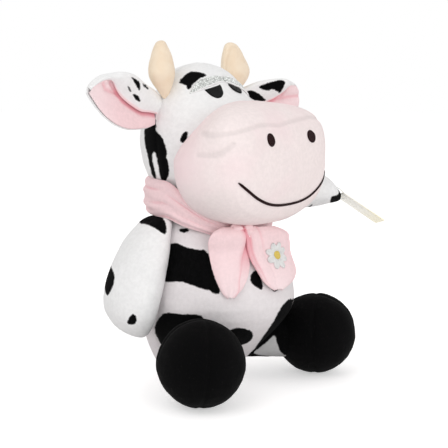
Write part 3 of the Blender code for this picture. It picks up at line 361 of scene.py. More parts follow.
# Share of the length, then shares of the form's half sizes
TUFT_ROWS = ((0.00, 0.45), (0.15, 0.75), (0.45, 1.00), (0.75, 0.72), (0.93, 0.36), (1.00, 0.12))
KNOT_ROWS = (
    (0.00, 0.30), (0.06, 0.68), (0.25, 0.98), (0.50, 0.86), (0.75, 0.98), (0.94, 0.68), (1.00, 0.30),
)
# Share from the scarf's front to its back, then shares of its height and of its drop
SCARF_ROWS = (
    (0.00, 0.40, 0.97), (0.08, 0.46, 0.88), (0.18, 0.56, 0.66), (0.32, 0.84, 0.32), (0.46, 0.98, 0.04),
    (0.60, 1.00, 0.00), (1.00, 0.90, -0.04),
)

# Seams of the muzzle in millimetres of the head's frame: across and up
MUZZLE_PANEL = (
    (-96, 70), (-86, 76), (-73, 78.5), (-49, 82.5), (-33, 83.5), (-13, 82), (10, 84.7), (26, 86.3),
    (51, 88), (70, 86), (88, 78), (96, 70),
)
MUZZLE_CREASE = ((-91, 55), (-86, 62), (-82, 66.5))
# Middle across, half width and half height of each nostril
NOSTRILS = {"right": (-0.0332, 0.0060, 0.0066), "left": (0.0404, 0.0080, 0.0062)}
SMILE_HALF_SPAN, SMILE_END_UP, SMILE_SAG, SMILE_POWER = 0.0785, 0.0305, 0.0272, 2.6
# Each row: share from the inner end of a lid to its outer tip, then its lower and its upper edge
LID_ROWS = {
    "right": (
        (0.00, 0.1226, 0.1284), (0.20, 0.1223, 0.1296), (0.42, 0.1200, 0.1285), (0.68, 0.1164, 0.1250),
        (0.82, 0.1142, 0.1208), (0.94, 0.1125, 0.1156), (1.00, 0.1116, 0.1124),
    ),
    "left": (
        (0.00, 0.1226, 0.1284), (0.28, 0.1192, 0.1276), (0.57, 0.1162, 0.1243), (0.80, 0.1128, 0.1205),
        (0.93, 0.1100, 0.1145), (1.00, 0.1080, 0.1088),
    ),
}
LID_ENDS = {"right": (-0.0009, -0.0478), "left": (-0.0003, 0.0372)}
# Share along the eye's flat top, then how far it hangs below the top
EYE_ROWS = (
    (0.00, 0.0010), (0.07, 0.0050), (0.20, 0.0085), (0.45, 0.0104), (0.70, 0.0096), (0.90, 0.0066),
    (1.00, 0.0022),
)
# Each eye's ends across, and the share of its full depth
EYE_ENDS = {"right": (-0.0121, -0.0330, 1.0), "left": (0.0011, 0.0193, 0.58)}
EYE_TOP, EYE_SLANT = 0.1206, 0.0050

# Views from which the printed spots were laid out: turn and height of the eye, in degrees
FRONT_RIGHT = (-46.7, 7.92)
FRONT_LEFT = (46.7, 7.92)
BACK_LEFT = (133.3, 7.92)
BACK_RIGHT = (-133.3, 7.92)
BEHIND_ARM = (150.0, 8.0)

# Printed spots: view, then outlines in millimetres across and up in that view
HEAD_SPOTS = (
    (
        FRONT_RIGHT,
        (-18, 300, -6, 313, -1, 313, 8, 312, 13, 309, 6, 306, -1, 300, -5, 292, -8, 294, -8, 298),
    ),
    (FRONT_RIGHT, (
        -45, 274, -39, 270, -38, 256, -39, 252, -31, 245, -27, 232, -28, 225, -26, 221, -25, 209, -31, 200,
        -35, 205, -36.5, 218, -39, 230, -42, 233, -43, 224, -40, 212, -39, 203, -44, 208, -46, 218,
        -48, 229, -51, 240, -52, 256,
    )),
    (FRONT_RIGHT, (-14, 239, -13.5, 244.5, -10, 250, -6, 251, -6, 245, -8, 240)),
)
BODY_SPOTS = (
    (FRONT_RIGHT, (
        -22, 142, -34, 132, -35, 121, -32, 100, -16, 103, -4, 100, 7, 96, 15, 94, 22, 90, 27, 93, 19, 108,
        14, 134, 1, 134, -10, 137,
    )),
    (FRONT_RIGHT, (-16, 155, -5, 155, -5, 151, -16, 151)),
    (FRONT_RIGHT, (-39, 43, -42, 51, -39, 61, -30, 72, -13, 70, 1, 71, 10, 69, 11, 55, -5, 32, -31, 28)),
    (FRONT_RIGHT, (33, 57, 54, 55.5, 60, 47.5, 55, 39, 48, 36, 33, 40)),
    (FRONT_RIGHT, (58, 113, 54, 105, 59, 98, 69, 93, 67, 104, 64, 114)),
    (FRONT_RIGHT, (76, 95, 79, 91, 87, 94, 87, 99, 77, 99)),
    (FRONT_RIGHT, (88, 79, 100, 85, 101, 71, 83, 46, 68, 28, 60, 27, 68, 42, 80, 62)),
)
ARM_RIGHT_SPOTS = (
    (FRONT_RIGHT, (-59, 160, -53, 167, -46, 171, -33, 167, -28, 159, -28, 147, -34, 152, -47, 159)),
    (FRONT_RIGHT, (-91, 114, -87, 119, -81, 111, -79, 104, -83, 93, -88, 86, -93, 98)),
    (FRONT_RIGHT, (-68, 60, -61, 72, -56, 69, -57, 60)),
)
ARM_LEFT_SPOTS = (
    (
        FRONT_RIGHT,
        (150, 207, 166, 191, 165, 184, 156, 184, 152, 182, 145, 183, 146, 190, 153, 190, 156, 195),
    ),
    (FRONT_RIGHT, (116.5, 171, 119, 171.5, 123, 175, 126.5, 181.5, 125.5, 181.5, 121, 177.5)),
)
EAR_SPOTS = {
    "right": (
        (FRONT_RIGHT, (-60, 300.5, -55, 298.5, -51, 295, -52.5, 288, -55, 291.5, -57, 296)),
        (FRONT_RIGHT, (-50, 296, -47, 295.5, -43.5, 291, -48, 292)),
        (FRONT_RIGHT, (-63, 291.5, -61, 291, -59.5, 286, -62, 287)),
        (FRONT_RIGHT, (-59.5, 284.5, -56, 285.5, -52, 282, -52.5, 278, -56.5, 280)),
    ),
    "left": (
        (
            FRONT_RIGHT,
            (66, 307.5, 71, 310.5, 92, 317.5, 97.5, 314.5, 91, 302, 87, 305.3, 82, 306.6, 76, 304.2, 72, 305),
        ),
        (FRONT_RIGHT, (52, 303.5, 60, 304.5, 66.5, 301.8, 79, 293.5, 60, 293.5)),
    ),
}
# The patch of the left leg that stays light
LEG_LEFT_LIGHT = (
    (FRONT_RIGHT, (
        58.3, 23.4, 70.1, 31.9, 78.6, 40.5, 82.9, 43.7, 86.1, 29.8, 90.4, 22.3, 100.1, 16.9, 85.1, 18.5,
        70.1, 20.1,
    )),
)
# Round spots of the far sides: view, middle across and up, width, height, turn, and a wobble
HEAD_ROUND = (
    (BACK_LEFT, -28, 268, 40, 46, 0.4, 0.9),
    (BACK_LEFT, 34, 246, 26, 34, -0.5, 2.1),
    (BACK_LEFT, 10, 306, 30, 16, 0.2, 3.3),
    (BACK_RIGHT, 20, 285, 24, 30, 0.5, 4.0),
    (FRONT_LEFT, -34, 262, 22, 40, 0.2, 1.4),
)
BODY_ROUND = (
    (BACK_LEFT, -30, 112, 46, 36, 0.3, 0.4),
    (BACK_LEFT, 36, 62, 34, 44, -0.4, 2.6),
    (BACK_LEFT, 16, 150, 26, 16, 0.1, 1.3),
    (BACK_RIGHT, -34, 60, 32, 40, 0.5, 3.0),
    (BACK_RIGHT, 26, 116, 36, 30, -0.3, 4.2),
    (FRONT_LEFT, -24, 118, 30, 34, 0.3, 5.0),
    (FRONT_LEFT, -50, 62, 26, 30, 0.0, 1.9),
)
ARM_RIGHT_ROUND = ((BEHIND_ARM, 80, 126, 22, 26, 0.3, 1.1), (BEHIND_ARM, 86, 86, 22, 18, -0.3, 2.9))
ARM_LEFT_ROUND = ((BACK_LEFT, -86, 176, 30, 22, 0.2, 3.7), (BACK_LEFT, -128, 190, 22, 20, 0.1, 5.1))
EAR_ROUND = {
    "right": ((BACK_RIGHT, 66, 290, 26, 20, 0.2, 1.2),),
    "left": ((BACK_LEFT, -66, 292, 24, 22, 0.3, 2.2), (BACK_LEFT, -98, 286, 18, 16, 0.0, 3.9)),
}


# Sizes and colours
def length_property(name, description, default, high=1.0):
    """A length that the panel shows in the scene's unit."""
    return bpy.props.FloatProperty(
        name=name, description=description, default=default, min=0.0, max=high,
        subtype="DISTANCE", unit="LENGTH",
    )


def colour_property(name, description, default):
    """A colour that the panel shows as a swatch."""
    return bpy.props.FloatVectorProperty(
        name=name, description=description, default=default, min=0.0, max=1.0, size=3, subtype="COLOR"
    )


class CowSizes(bpy.types.PropertyGroup):
    """Sizes of the sewn forms and of their finish."""

    body_height: length_property("Body Height", "Seat to neck seam", 0.187)
    body_width: length_property("Body Width", "Widest part of the body", 0.158)
    belly_forward: length_property("Belly Forward", "How far the belly leans ahead of the seat", 0.032)
    head_height: length_property("Head Height", "Neck seam to crown", 0.1427)
    head_width: length_property("Head Width", "Widest part of the head", 0.134)
    muzzle_width: length_property("Muzzle Width", "Widest part of the muzzle", 0.184)
    muzzle_height: length_property("Muzzle Height", "Tallest part of the muzzle", 0.124)
    muzzle_length: length_property("Muzzle Length", "Back to front of the muzzle", 0.103)
    arm_length: length_property("Arm Length", "Shoulder seam to paw", 0.121)
    foot_diameter: length_property("Foot Diameter", "Round foot", 0.0874)
    ear_length: length_property("Ear Length", "Root to tip of an ear", 0.090)
    ear_width: length_property("Ear Width", "Widest part of an ear", 0.054)
    seam_depth: length_property("Seam Depth", "How deep a sewn seam sinks", 0.0009, high=0.005)
    swell: length_property("Swell", "How far the filling may push the cloth", 0.0026, high=0.02)
    fold_depth: length_property("Fold Depth", "Depth of the scarf's folds", 0.0016, high=0.01)
    spot_fuzz: length_property("Spot Fuzz", "Width of a spot's furry edge", 0.0007, high=0.01)
    stitch_width: length_property("Stitch Width", "Width of the sewn smile", 0.0016, high=0.01)


class CowColours(bpy.types.PropertyGroup):
    """Colours of the cloths, threads and trims."""

    white_plush: colour_property("White Plush", "Light pile", (0.90, 0.90, 0.90))
    # Painted shade: the body's white is darker and greyer than the head's, as it lies under the head and muzzle.
    shaded_belly_plush: colour_property("Belly Plush", "Light pile of the body", (0.83, 0.79, 0.80))
    black_plush: colour_property("Black Plush", "Dark pile and printed spots", (0.0022, 0.0022, 0.0024))
    muzzle_pink: colour_property("Muzzle Pink", "Pile of the muzzle", (0.93, 0.83, 0.82))
    # Pinker patches at random, also used as painted shade round the muzzle's back rim.
    muzzle_pink_patches_and_rim_shade: colour_property("Muzzle Blush", "Pinker patches of the muzzle", (0.92, 0.75, 0.765))
    scarf_pink: colour_property("Scarf Pink", "Fleece of the scarf and ears", (0.91, 0.675, 0.695))
    # Painted light: paler fleece down the scarf tails, out of the muzzle's shade, and towards the ear tips.
    lit_fleece_pale: colour_property("Pale Fleece", "Worn, paler parts of the fleece", (0.95, 0.84, 0.85))
    # Painted shade: deep pink down in folds, creases and beside the knot.
    fold_shade_pink: colour_property("Fold Pink", "Fleece deep in a fold", (0.80, 0.26, 0.32))
    horn_cream: colour_property("Horn Cream", "Cloth of the horns", (0.90, 0.765, 0.60))
    horn_tan: colour_property("Horn Tan", "Shaded cloth of the horns", (0.80, 0.58, 0.38))
    smile_brown: colour_property("Smile Brown", "Thread of the smile and nostrils", (0.020, 0.006, 0.007))
    eye_black: colour_property("Eye Black", "Thread of the eyes", (0.0028, 0.0028, 0.003))
    lid_silver: colour_property("Lid Silver", "Glitter cloth of the eyelids", (0.66, 0.68, 0.66))
    tag_cream: colour_property("Tag Cream", "Card of the hang tag", (0.96, 0.945, 0.87))
    tag_yellow: colour_property("Tag Yellow", "Far end of the hang tag", (0.95, 0.89, 0.66))
    daisy_white: colour_property("Daisy White", "Sewn petals", (0.93, 0.93, 0.92))
    daisy_gold: colour_property("Daisy Gold", "Middle of the daisy", (0.80, 0.48, 0.10))


def sizes():
    return bpy.context.scene.cow_sizes


def tint(name):
    """A colour of the panel."""
    return tuple(getattr(bpy.context.scene.cow_colours, name))


# Shader nodes
class Wire:
    """A node's output; arithmetic on it adds Math nodes."""

    def __init__(self, recipe, socket):
        self.recipe = recipe
        self.socket = socket

    def other(self, output):
        """Another output of the same node."""
        return Wire(self.recipe, self.socket.node.outputs[output])

    def __add__(self, part):
        return self.recipe.math("ADD", self, part)

    def __sub__(self, part):
        return self.recipe.math("SUBTRACT", self, part)

    def __rsub__(self, part):
        return self.recipe.math("SUBTRACT", part, self)

    def __mul__(self, part):
        return self.recipe.math("MULTIPLY", self, part)

    __radd__ = __add__
    __rmul__ = __mul__


class Recipe:
    """The node tree of a material or a world."""

    def __init__(self, owner):
        owner.use_nodes = True
        self.owner = owner
        self.tree = owner.node_tree
        self.tree.nodes.clear()

    def node(self, kind, settings=None, inputs=None, output=0):
        """Add a node: its settings first, then its sockets' values or links."""
        made = self.tree.nodes.new(kind)
        for key, value in (settings or {}).items():
            setattr(made, key, value)
        for key, value in (inputs or {}).items():
            if isinstance(value, Wire):
                self.tree.links.new(value.socket, made.inputs[key])
            else:
                made.inputs[key].default_value = value
        return Wire(self, made.outputs[output])

    def math(self, operation, *parts):
        return self.node("ShaderNodeMath", {"operation": operation}, dict(enumerate(parts)))

    def place(self):
        return self.node("ShaderNodeTexCoord", output="Object")

    def across(self):
        """The two axes of the piece's own UV map, the first of them; the other is its other(1)."""
        grid = self.node("ShaderNodeUVMap", {"uv_map": "UVMap"})
        return self.node("ShaderNodeSeparateXYZ", None, {"Vector": grid})

    def mark(self, name):
        """A number that the mesh carries at its points."""
        return self.node("ShaderNodeAttribute", {"attribute_name": name}, output="Fac")

    def noise(self, scale, detail=2.0, roughness=0.5):
        values = {"Vector": self.place(), "Scale": scale, "Detail": detail, "Roughness": roughness}
        return self.node("ShaderNodeTexNoise", None, values)

    def step(self, value, low, high, start=0.0, end=1.0):
        """A smooth change from start to end as a value goes from low to high."""
        values = {"Value": value, "From Min": low, "From Max": high, "To Min": start, "To Max": end}
        return self.node("ShaderNodeMapRange", {"interpolation_type": "SMOOTHSTEP"}, values)

    def mix(self, factor, first, second):
        """A colour between two, by a factor."""
        first, second = (part if isinstance(part, Wire) else (*part, 1.0) for part in (first, second))
        return self.node("ShaderNodeMix", {"data_type": "RGBA"}, {0: factor, 6: first, 7: second}, 2)

    def bump(self, height, distance, strength):
        values = {"Height": height, "Distance": distance, "Strength": strength}
        return self.node("ShaderNodeBump", None, values)

    def rays(self, *kinds):
        """1 for a ray of any of these kinds."""
        path = self.node("ShaderNodeLightPath", output=kinds[0])
        seen = path
        for kind in kinds[1:]:
            seen = self.math("MAXIMUM", seen, path.other(kind))
        return seen

    def finish(self, **values):
        """Close the tree with a Principled shader whose sockets are named with underscores."""
        inputs = {key.replace("_", " "): value for key, value in values.items()}
        return self.close(self.node("ShaderNodeBsdfPrincipled", None, inputs))

    def close(self, shader, output="ShaderNodeOutputMaterial"):
        end = self.tree.nodes.new(output)
        self.tree.links.new(shader.socket, end.inputs["Surface"])
        return self.owner


def new_material(name):
    return Recipe(bpy.data.materials.new(name))


def shade(colour, factor):
    """A darker or lighter colour, channel by channel."""
    return tuple(min(1.0, part * factor) for part in colour)


def plush(name, light, dark=None, sheen=0.006, pile=0.00045, lip=None, stitch=0.16, pink_patches_and_rim_shade=None):
    """Short pile: brushed patches, fine tufts, sunk seams with painted shade along them, pinker patches and painted
    shade by the rim mark if their colour is given, and printed spots if dark is given.
    """
    recipe = new_material(name)
    tufts, clumps, brushed = (recipe.noise(*grain) for grain in (PILE_TUFTS, PILE_CLUMPS, PILE_BRUSHED))
    seam = recipe.step(recipe.mark("seam"), 0.0004, 0.0030, 1.0, 0.0)
    colour = recipe.mix(recipe.step(clumps, 0.30, 0.72), shade(light, 0.955), shade(light, 1.02))
    colour = recipe.mix(recipe.step(brushed, 0.35, 0.7) * 0.35, colour, shade(light, 0.94))
    if pink_patches_and_rim_shade:
        # Pinker patches at random, and painted shade by the rim mark.
        patches = recipe.step(recipe.noise(*PILE_PATCHES), 0.42, 0.70)
        colour = recipe.mix(patches * 0.55 + recipe.mark("rim") * 0.45, colour, pink_patches_and_rim_shade)
    # Painted shade along the sunk seams, darker towards 0.62 of the pile; stitch sets its strength and the seam's dip
    # in the bump.
    colour = recipe.mix(seam * stitch, colour, shade(light, 0.62))
    if dark:
        edge = recipe.mark("hide") + (clumps - 0.5) * 0.0026 + (tufts - 0.5) * 0.0014
        fuzz = sizes().spot_fuzz
        deep = recipe.mix(recipe.step(clumps, 0.25, 0.8), shade(dark, 0.7), shade(dark, 1.5))
        colour = recipe.mix(recipe.step(edge, -fuzz, fuzz), colour, deep)
    if lip:
        colour = recipe.mix(recipe.mark("lip"), colour, lip)
    height = tufts * 0.55 + clumps * 0.45 + brushed * 0.5 - seam * stitch * 4.0
    return recipe.finish(
        Base_Color=colour,
        Roughness=0.92,
        Sheen_Weight=sheen,
        Sheen_Roughness=0.55,
        Specular_IOR_Level=0.04,
        Normal=recipe.bump(height, pile, 0.9),
    )


def fleece(name):
    """Soft knit of the scarf and the ear linings, with painted shade in deeper pink down in its folds and painted
    light in paler pink where the far mark is set.
    """
    light = tint("scarf_pink")
    recipe = new_material(name)
    tufts, clumps, drift = (recipe.noise(*grain) for grain in (FLEECE_TUFTS, FLEECE_CLUMPS, FLEECE_DRIFT))
    # Painted shade: the fold mark deepens the pink down in folds and creases.
    fold = recipe.step(recipe.mark("fold"), 0.15, 1.0)
    colour = recipe.mix(recipe.step(clumps, 0.3, 0.75), shade(light, 0.95), shade(light, 1.03))
    colour = recipe.mix(recipe.step(drift, 0.35, 0.7) * 0.4, colour, shade(light, 1.06))
    # Painted light: paler fleece where the far mark is set.
    colour = recipe.mix(recipe.mark("far") * 0.5, colour, tint("lit_fleece_pale"))
    return recipe.finish(
        Base_Color=recipe.mix(fold * 0.75, colour, tint("fold_shade_pink")),
        Roughness=0.9,
        Sheen_Weight=0.08,
        Sheen_Roughness=0.5,
        Specular_IOR_Level=0.06,
        Normal=recipe.bump(tufts * 0.6 + clumps * 0.5 + drift * 0.5, 0.00035, 0.8),
    )


def horn_cloth():
    """Smooth short cloth, tan patches at random, with painted shade in tan towards the horn's root and along its seam.
    """
    recipe = new_material("horn_cloth")
    tufts, drift = recipe.noise(*FLEECE_TUFTS), recipe.noise(*HORN_DRIFT)
    seam = recipe.step(recipe.mark("seam"), 0.0003, 0.0018, 1.0, 0.0)
    # Painted shade in tan towards the root, and tan patches at random.
    painted_light_and_tone = recipe.mark("root") * 0.25 + recipe.step(drift, 0.35, 0.7) * 0.3
    colour = recipe.mix(painted_light_and_tone, tint("horn_cream"), tint("horn_tan"))
    return recipe.finish(
        # Painted shade along the seam.
        Base_Color=recipe.mix(seam * 0.18, colour, shade(tint("horn_tan"), 0.8)),
        Roughness=0.85,
        Sheen_Weight=0.2,
        Sheen_Roughness=0.5,
        Specular_IOR_Level=0.15,
        Normal=recipe.bump(tufts * 0.7 + drift * 0.4 - seam * 0.4, 0.0003, 0.8),
    )


def thread(name, colour, rows, gloss=0.5, slant=0.0, row_shade_and_highlight=(0.6, 1.7), shine=0.35):
    """Satin stitch: close rows of thread across the patch, by its own UV map, each row painted lighter on its ridge
    and darker between rows.
    """
    recipe = new_material(name)
    along_patch = recipe.across()
    phase = along_patch * rows + along_patch.other(1) * slant
    ridge = recipe.math("SINE", phase) * 0.5 + 0.5
    lint = recipe.noise(*LINT)
    return recipe.finish(
        # Painted highlight on each row's ridge and painted shade between rows, with some lint at random.
        Base_Color=recipe.mix(ridge * 0.7 + lint * 0.3, *(shade(colour, part) for part in row_shade_and_highlight)),
        Roughness=gloss,
        Specular_IOR_Level=shine,
        Normal=recipe.bump(ridge + lint * 0.3, 0.0002, 0.8),
    )


def glitter():
    """Silver cloth with fine flakes that lie at many angles, painted lighter and darker flake by flake as glints."""
    recipe = new_material("glitter_cloth")
    silver = tint("lid_silver")
    spread = {"Vector": recipe.place(), "Scale": 1400.0}
    flakes = recipe.node("ShaderNodeTexVoronoi", {"feature": "F1"}, spread, output="Color")
    split = recipe.node("ShaderNodeSeparateColor", None, {"Color": flakes})
    # Painted glints: each flake's silver is made darker or brighter.
    colour = recipe.mix(recipe.step(split, 0.10, 0.95), shade(silver, 0.50), shade(silver, 1.45))
    across_lid = recipe.across()
    rims = recipe.step(across_lid, 0.08, 0.18, 1.0, 0.0) + recipe.step(across_lid, 0.85, 0.92) * 0.8
    return recipe.finish(
        Base_Color=recipe.mix(rims, colour, tint("white_plush")),
        Metallic=recipe.step(split, 0.55, 0.8, 0.05, 0.55),
        Roughness=0.42,
        Specular_IOR_Level=0.6,
        Normal=recipe.bump(split + recipe.noise(500.0) * 0.5, 0.0003, 0.7),
    )


def card():
    """Printed side left bare: pale card with fine fibres, yellower towards its far end, and a faint painted glow."""
    recipe = new_material("tag_card")
    cream = tint("tag_cream")
    fibres = recipe.noise(*CARD_FIBRES)
    colour = recipe.mix(recipe.step(recipe.mark("far"), 0.35, 1.0), cream, tint("tag_yellow"))
    return recipe.finish(
        Base_Color=recipe.mix(fibres * 0.15, colour, shade(cream, 0.8)),
        # Painted light: the card glows faintly, so it stays light where it faces away from the lamps.
        Emission_Color=colour,
        Emission_Strength=0.16,
        Roughness=0.45,
        Specular_IOR_Level=0.4,
        Normal=recipe.bump(fibres, 0.0001, 0.4),
    )


def clear_plastic():
    """Milky moulded thread of the tag's loop."""
    recipe = new_material("clear_loop")
    haze = recipe.noise(300.0)
    return recipe.finish(
        Base_Color=recipe.mix(haze, (0.86, 0.85, 0.80), (0.95, 0.94, 0.90)),
        Roughness=0.25,
        Transmission_Weight=0.1,
        Subsurface_Weight=0.2,
        Normal=recipe.bump(haze, 0.0001, 0.3),
    )


# Mesh helpers
def only(*objects):
    """Select these objects alone, the last of them active, or nothing."""
    if bpy.context.object and bpy.context.object.mode != "OBJECT":
        bpy.ops.object.mode_set(mode="OBJECT")
    bpy.ops.object.select_all(action="DESELECT")
    for obj in objects:
        obj.select_set(True)
        bpy.context.view_layer.objects.active = obj


def named(name):
    """Name the primitive that was just added."""
    obj = bpy.context.object
    obj.name = name
    obj.data.name = name
    return obj


def modify(obj, kind, **settings):
    """Add a modifier with its settings and apply it."""
    made = obj.modifiers.new(kind.title(), kind)
    for key, value in settings.items():
        setattr(made, key, value)
    only(obj)
    bpy.ops.object.modifier_apply(modifier=made.name)


def vectors_of(obj, key):
    """The places or normals of a mesh's points, one row for each."""
    flat = np.empty(len(obj.data.vertices) * 3)
    obj.data.vertices.foreach_get(key, flat)
    return flat.reshape(-1, 3)


def points_of(obj):
    return vectors_of(obj, "co")


def move_to(obj, points):
    obj.data.vertices.foreach_set("co", np.asarray(points, float).ravel())
    obj.data.update()


def push_out(obj, distances):
    """Move each point along its normal."""
    move_to(obj, points_of(obj) + vectors_of(obj, "normal") * distances[:, None])


def lift_to(obj, low):
    """Raise the points that lie lower than a height."""
    points = points_of(obj)
    points[:, 2] = np.maximum(points[:, 2], low)
    move_to(obj, points)


def seen_from(place, obj):
    """The points of a piece in the frame of a place."""
    back = place.inverted()
    return np.array([back @ v.co for v in obj.data.vertices])


def bell(value, width):
    """1 at zero, falling off smoothly to both sides."""
    return np.exp(-((value / width) ** 2))


def ramp(value, start, end):
    """0 at start to 1 at end, and flat beyond."""
    return np.clip((value - start) / (end - start), 0.0, 1.0)


def set_mark(obj, name, values):
    """Store a number at each point of the mesh for its material."""
    layer = obj.data.attributes.get(name) or obj.data.attributes.new(name, "FLOAT", "POINT")
    layer.data.foreach_set("value", np.asarray(values, np.float32))


def dress(obj, material, slot):
    """Give a finished piece its material, smooth faces and its slot in the record."""
    obj.data.materials.clear()
    obj.data.materials.append(material)
    only(obj)
    bpy.ops.object.shade_smooth()
    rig.slot(obj, slot)
    return obj


def settle(obj, material, slot, body, *nodes, fill=None):
    """Finish a piece that rides on one body: what it stands for, and how full it is."""
    dress(obj, material, slot)
    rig.ride(obj, body)
    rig.replaces(obj, *nodes)
    if fill:
        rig.padded(obj, fill=fill)


def along(rows, share):
    """The numbers of a table at a share of its length, on a smooth curve through its rows."""
    table = np.array(rows, float)
    at, values = table[:, 0], table[:, 1:]
    slopes = np.gradient(values, at, axis=0)
    share = min(max(share, at[0]), at[-1])
    k = min(max(int(np.searchsorted(at, share)) - 1, 0), len(at) - 2)
    step = at[k + 1] - at[k]
    u = (share - at[k]) / step
    ends = (2 * u**3 - 3 * u**2 + 1) * values[k] + (3 * u**2 - 2 * u**3) * values[k + 1]
    bends = (u**3 - 2 * u**2 + u) * step * slopes[k] + (u**3 - u**2) * step * slopes[k + 1]
    return ends + bends


def shares(count):
    """Shares of a length, closer together at its two ends."""
    return [0.5 - 0.5 * math.cos(math.pi * (i + 0.5) / count) for i in range(count)]


def axes_at(origin, across, ahead):
    """A place whose X is across and whose Z is ahead."""
    ahead = Vector(ahead).normalized()
    across = Vector(across).normalized()
    place = Matrix((across, ahead.cross(across), ahead)).transposed().to_4x4()
    place.translation = origin
    return place


def turned(origin, turn, parent=None):
    """A place that is turned by three angles, in another place if one is given."""
    place = Matrix.Translation(origin) @ Euler(turn).to_matrix().to_4x4()
    return parent @ place if parent else place


def hanging(place):
    """The same place with its Z pointing down."""
    return place @ axes_at((0.0, 0.0, 0.0), X_AXIS, -Z_AXIS)


def ringed(name, rings, place, segments=40):
    """A ball whose rings are scaled and moved, one by one, to the sections of a form.

    Each ring is its height, its middle across and deep, and its two half sizes."""
    count = len(rings) + 1
    only()
    bpy.ops.mesh.primitive_uv_sphere_add(segments=segments, ring_count=count, radius=1.0)
    obj = named(name)
    heights = points_of(obj)[:, 2]
    moves = [(-1.0, 1.0, *rings[0][:3], 1.0, 1.0)]
    for k, ring in enumerate(rings):
        angle = math.pi * (k + 1) / count
        moves.append((-math.cos(angle), math.sin(angle), *ring))
    moves.append((1.0, 1.0, *rings[-1][:3], 1.0, 1.0))
    bpy.ops.object.mode_set(mode="EDIT")
    bpy.ops.mesh.select_mode(type="VERT")
    for height, radius, up, x, y, half_x, half_y in moves:
        bpy.ops.mesh.select_all(action="DESELECT")
        mesh = bmesh.from_edit_mesh(obj.data)
        mesh.verts.ensure_lookup_table()
        for i in np.nonzero(np.abs(heights - height) < 1e-4)[0]:
            mesh.verts[i].select_set(True)
        mesh.select_flush_mode()
        bmesh.update_edit_mesh(obj.data)
        size = (half_x / radius, half_y / radius, 1.0)
        bpy.ops.transform.resize(value=size, center_override=(0.0, 0.0, height))
        bpy.ops.transform.translate(value=(x, y, up - height))
    bpy.ops.object.mode_set(mode="OBJECT")
    obj.data.transform(place)
    return obj


def squared(obj, rings, place, powers):
    """Square off the rings of a form that was made round; each has a power above and one below."""
    points = seen_from(place, obj)
    for (up, x, y, half_x, half_y), (above, below) in zip(rings, powers):
        ring = np.abs(points[:, 2] - up) < 1e-6
        unit = (points[ring, :2] - (x, y)) / (half_x, half_y)
        long = np.maximum(np.hypot(*unit.T), 1e-9)[:, None]
        unit = unit / long
        grown = np.sign(unit) * np.abs(unit) ** (2.0 / np.where(unit[:, 1:] > 0.0, above, below))
        points[ring, :2] = (x, y) + grown * np.minimum(long, 1.0) * (half_x, half_y)
    move_to(obj, [place @ Vector(point) for point in points])


def plane_seam(point, normal, side=None):
    """Distance from a plane, or from the half of it on one side of the point."""
    point, normal = np.array(point, float), np.array(normal, float)
    normal = normal / np.linalg.norm(normal)

    def distance(points):
        off = np.abs((points - point) @ normal)
        if side is None:
            return off
        return np.hypot(off, np.minimum((points - point) @ np.array(side, float), 0.0))

    return distance


def line_gap(points, line):
    """Distance from each point to a line through places."""
    points, line = np.asarray(points, float), np.array(line, float)
    found = np.full(len(points), np.inf)
    for start, end in zip(line[:-1], line[1:]):
        edge = end - start
        share = np.clip((points - start) @ edge / max(edge @ edge, 1e-12), 0.0, 1.0)
        found = np.minimum(found, np.linalg.norm(points - start - share[:, None] * edge, axis=1))
    return found


def front_seam(place, line):
    """Distance from a seam over the front of a form, seen from ahead of its place."""
    back = np.array(place.inverted())

    def distance(points):
        local = points @ back[:3, :3].T + back[:3, 3]
        return np.hypot(line_gap(local[:, (0, 2)], line), np.maximum(local[:, 1] - SEAM_FRONT, 0.0))

    return distance


def near_seam(points, seams):
    """Distance from each point to the nearest seam."""
    found = np.full(len(points), UNMARKED)
    for seam in seams:
        found = np.minimum(found, seam(points))
    return found


def fill_cloth(obj, cap, seams):
    """Push the cloth out with its filling, held along its seams, and no farther than the cap."""
    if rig.quick():
        return
    start = points_of(obj)
    held = np.nonzero(near_seam(start, seams) < SEAM_HOLD)[0]
    group = obj.vertex_groups.new(name="seams")
    group.add([int(i) for i in held], 1.0, "REPLACE")
    cloth = obj.modifiers.new("Filling", "CLOTH")
    rules = cloth.settings
    rules.use_pressure = True
    rules.uniform_pressure_force = FILL_PRESSURE
    rules.effector_weights.gravity = 0.0
    rules.vertex_group_mass = group.name
    rules.bending_stiffness = CLOTH_STIFFNESS
    cloth.collision_settings.use_collision = False
    cloth.collision_settings.use_self_collision = False
    for step in range(FILL_STEPS):
        bpy.context.scene.frame_set(step + 1)
    only(obj)
    bpy.ops.object.modifier_apply(modifier=cloth.name)
    moved = points_of(obj) - start
    length = np.linalg.norm(moved, axis=1)[:, None]
    move_to(obj, start + moved * np.minimum(1.0, cap / np.maximum(length, 1e-9)))
    bpy.context.scene.frame_set(1)
    obj.vertex_groups.clear()


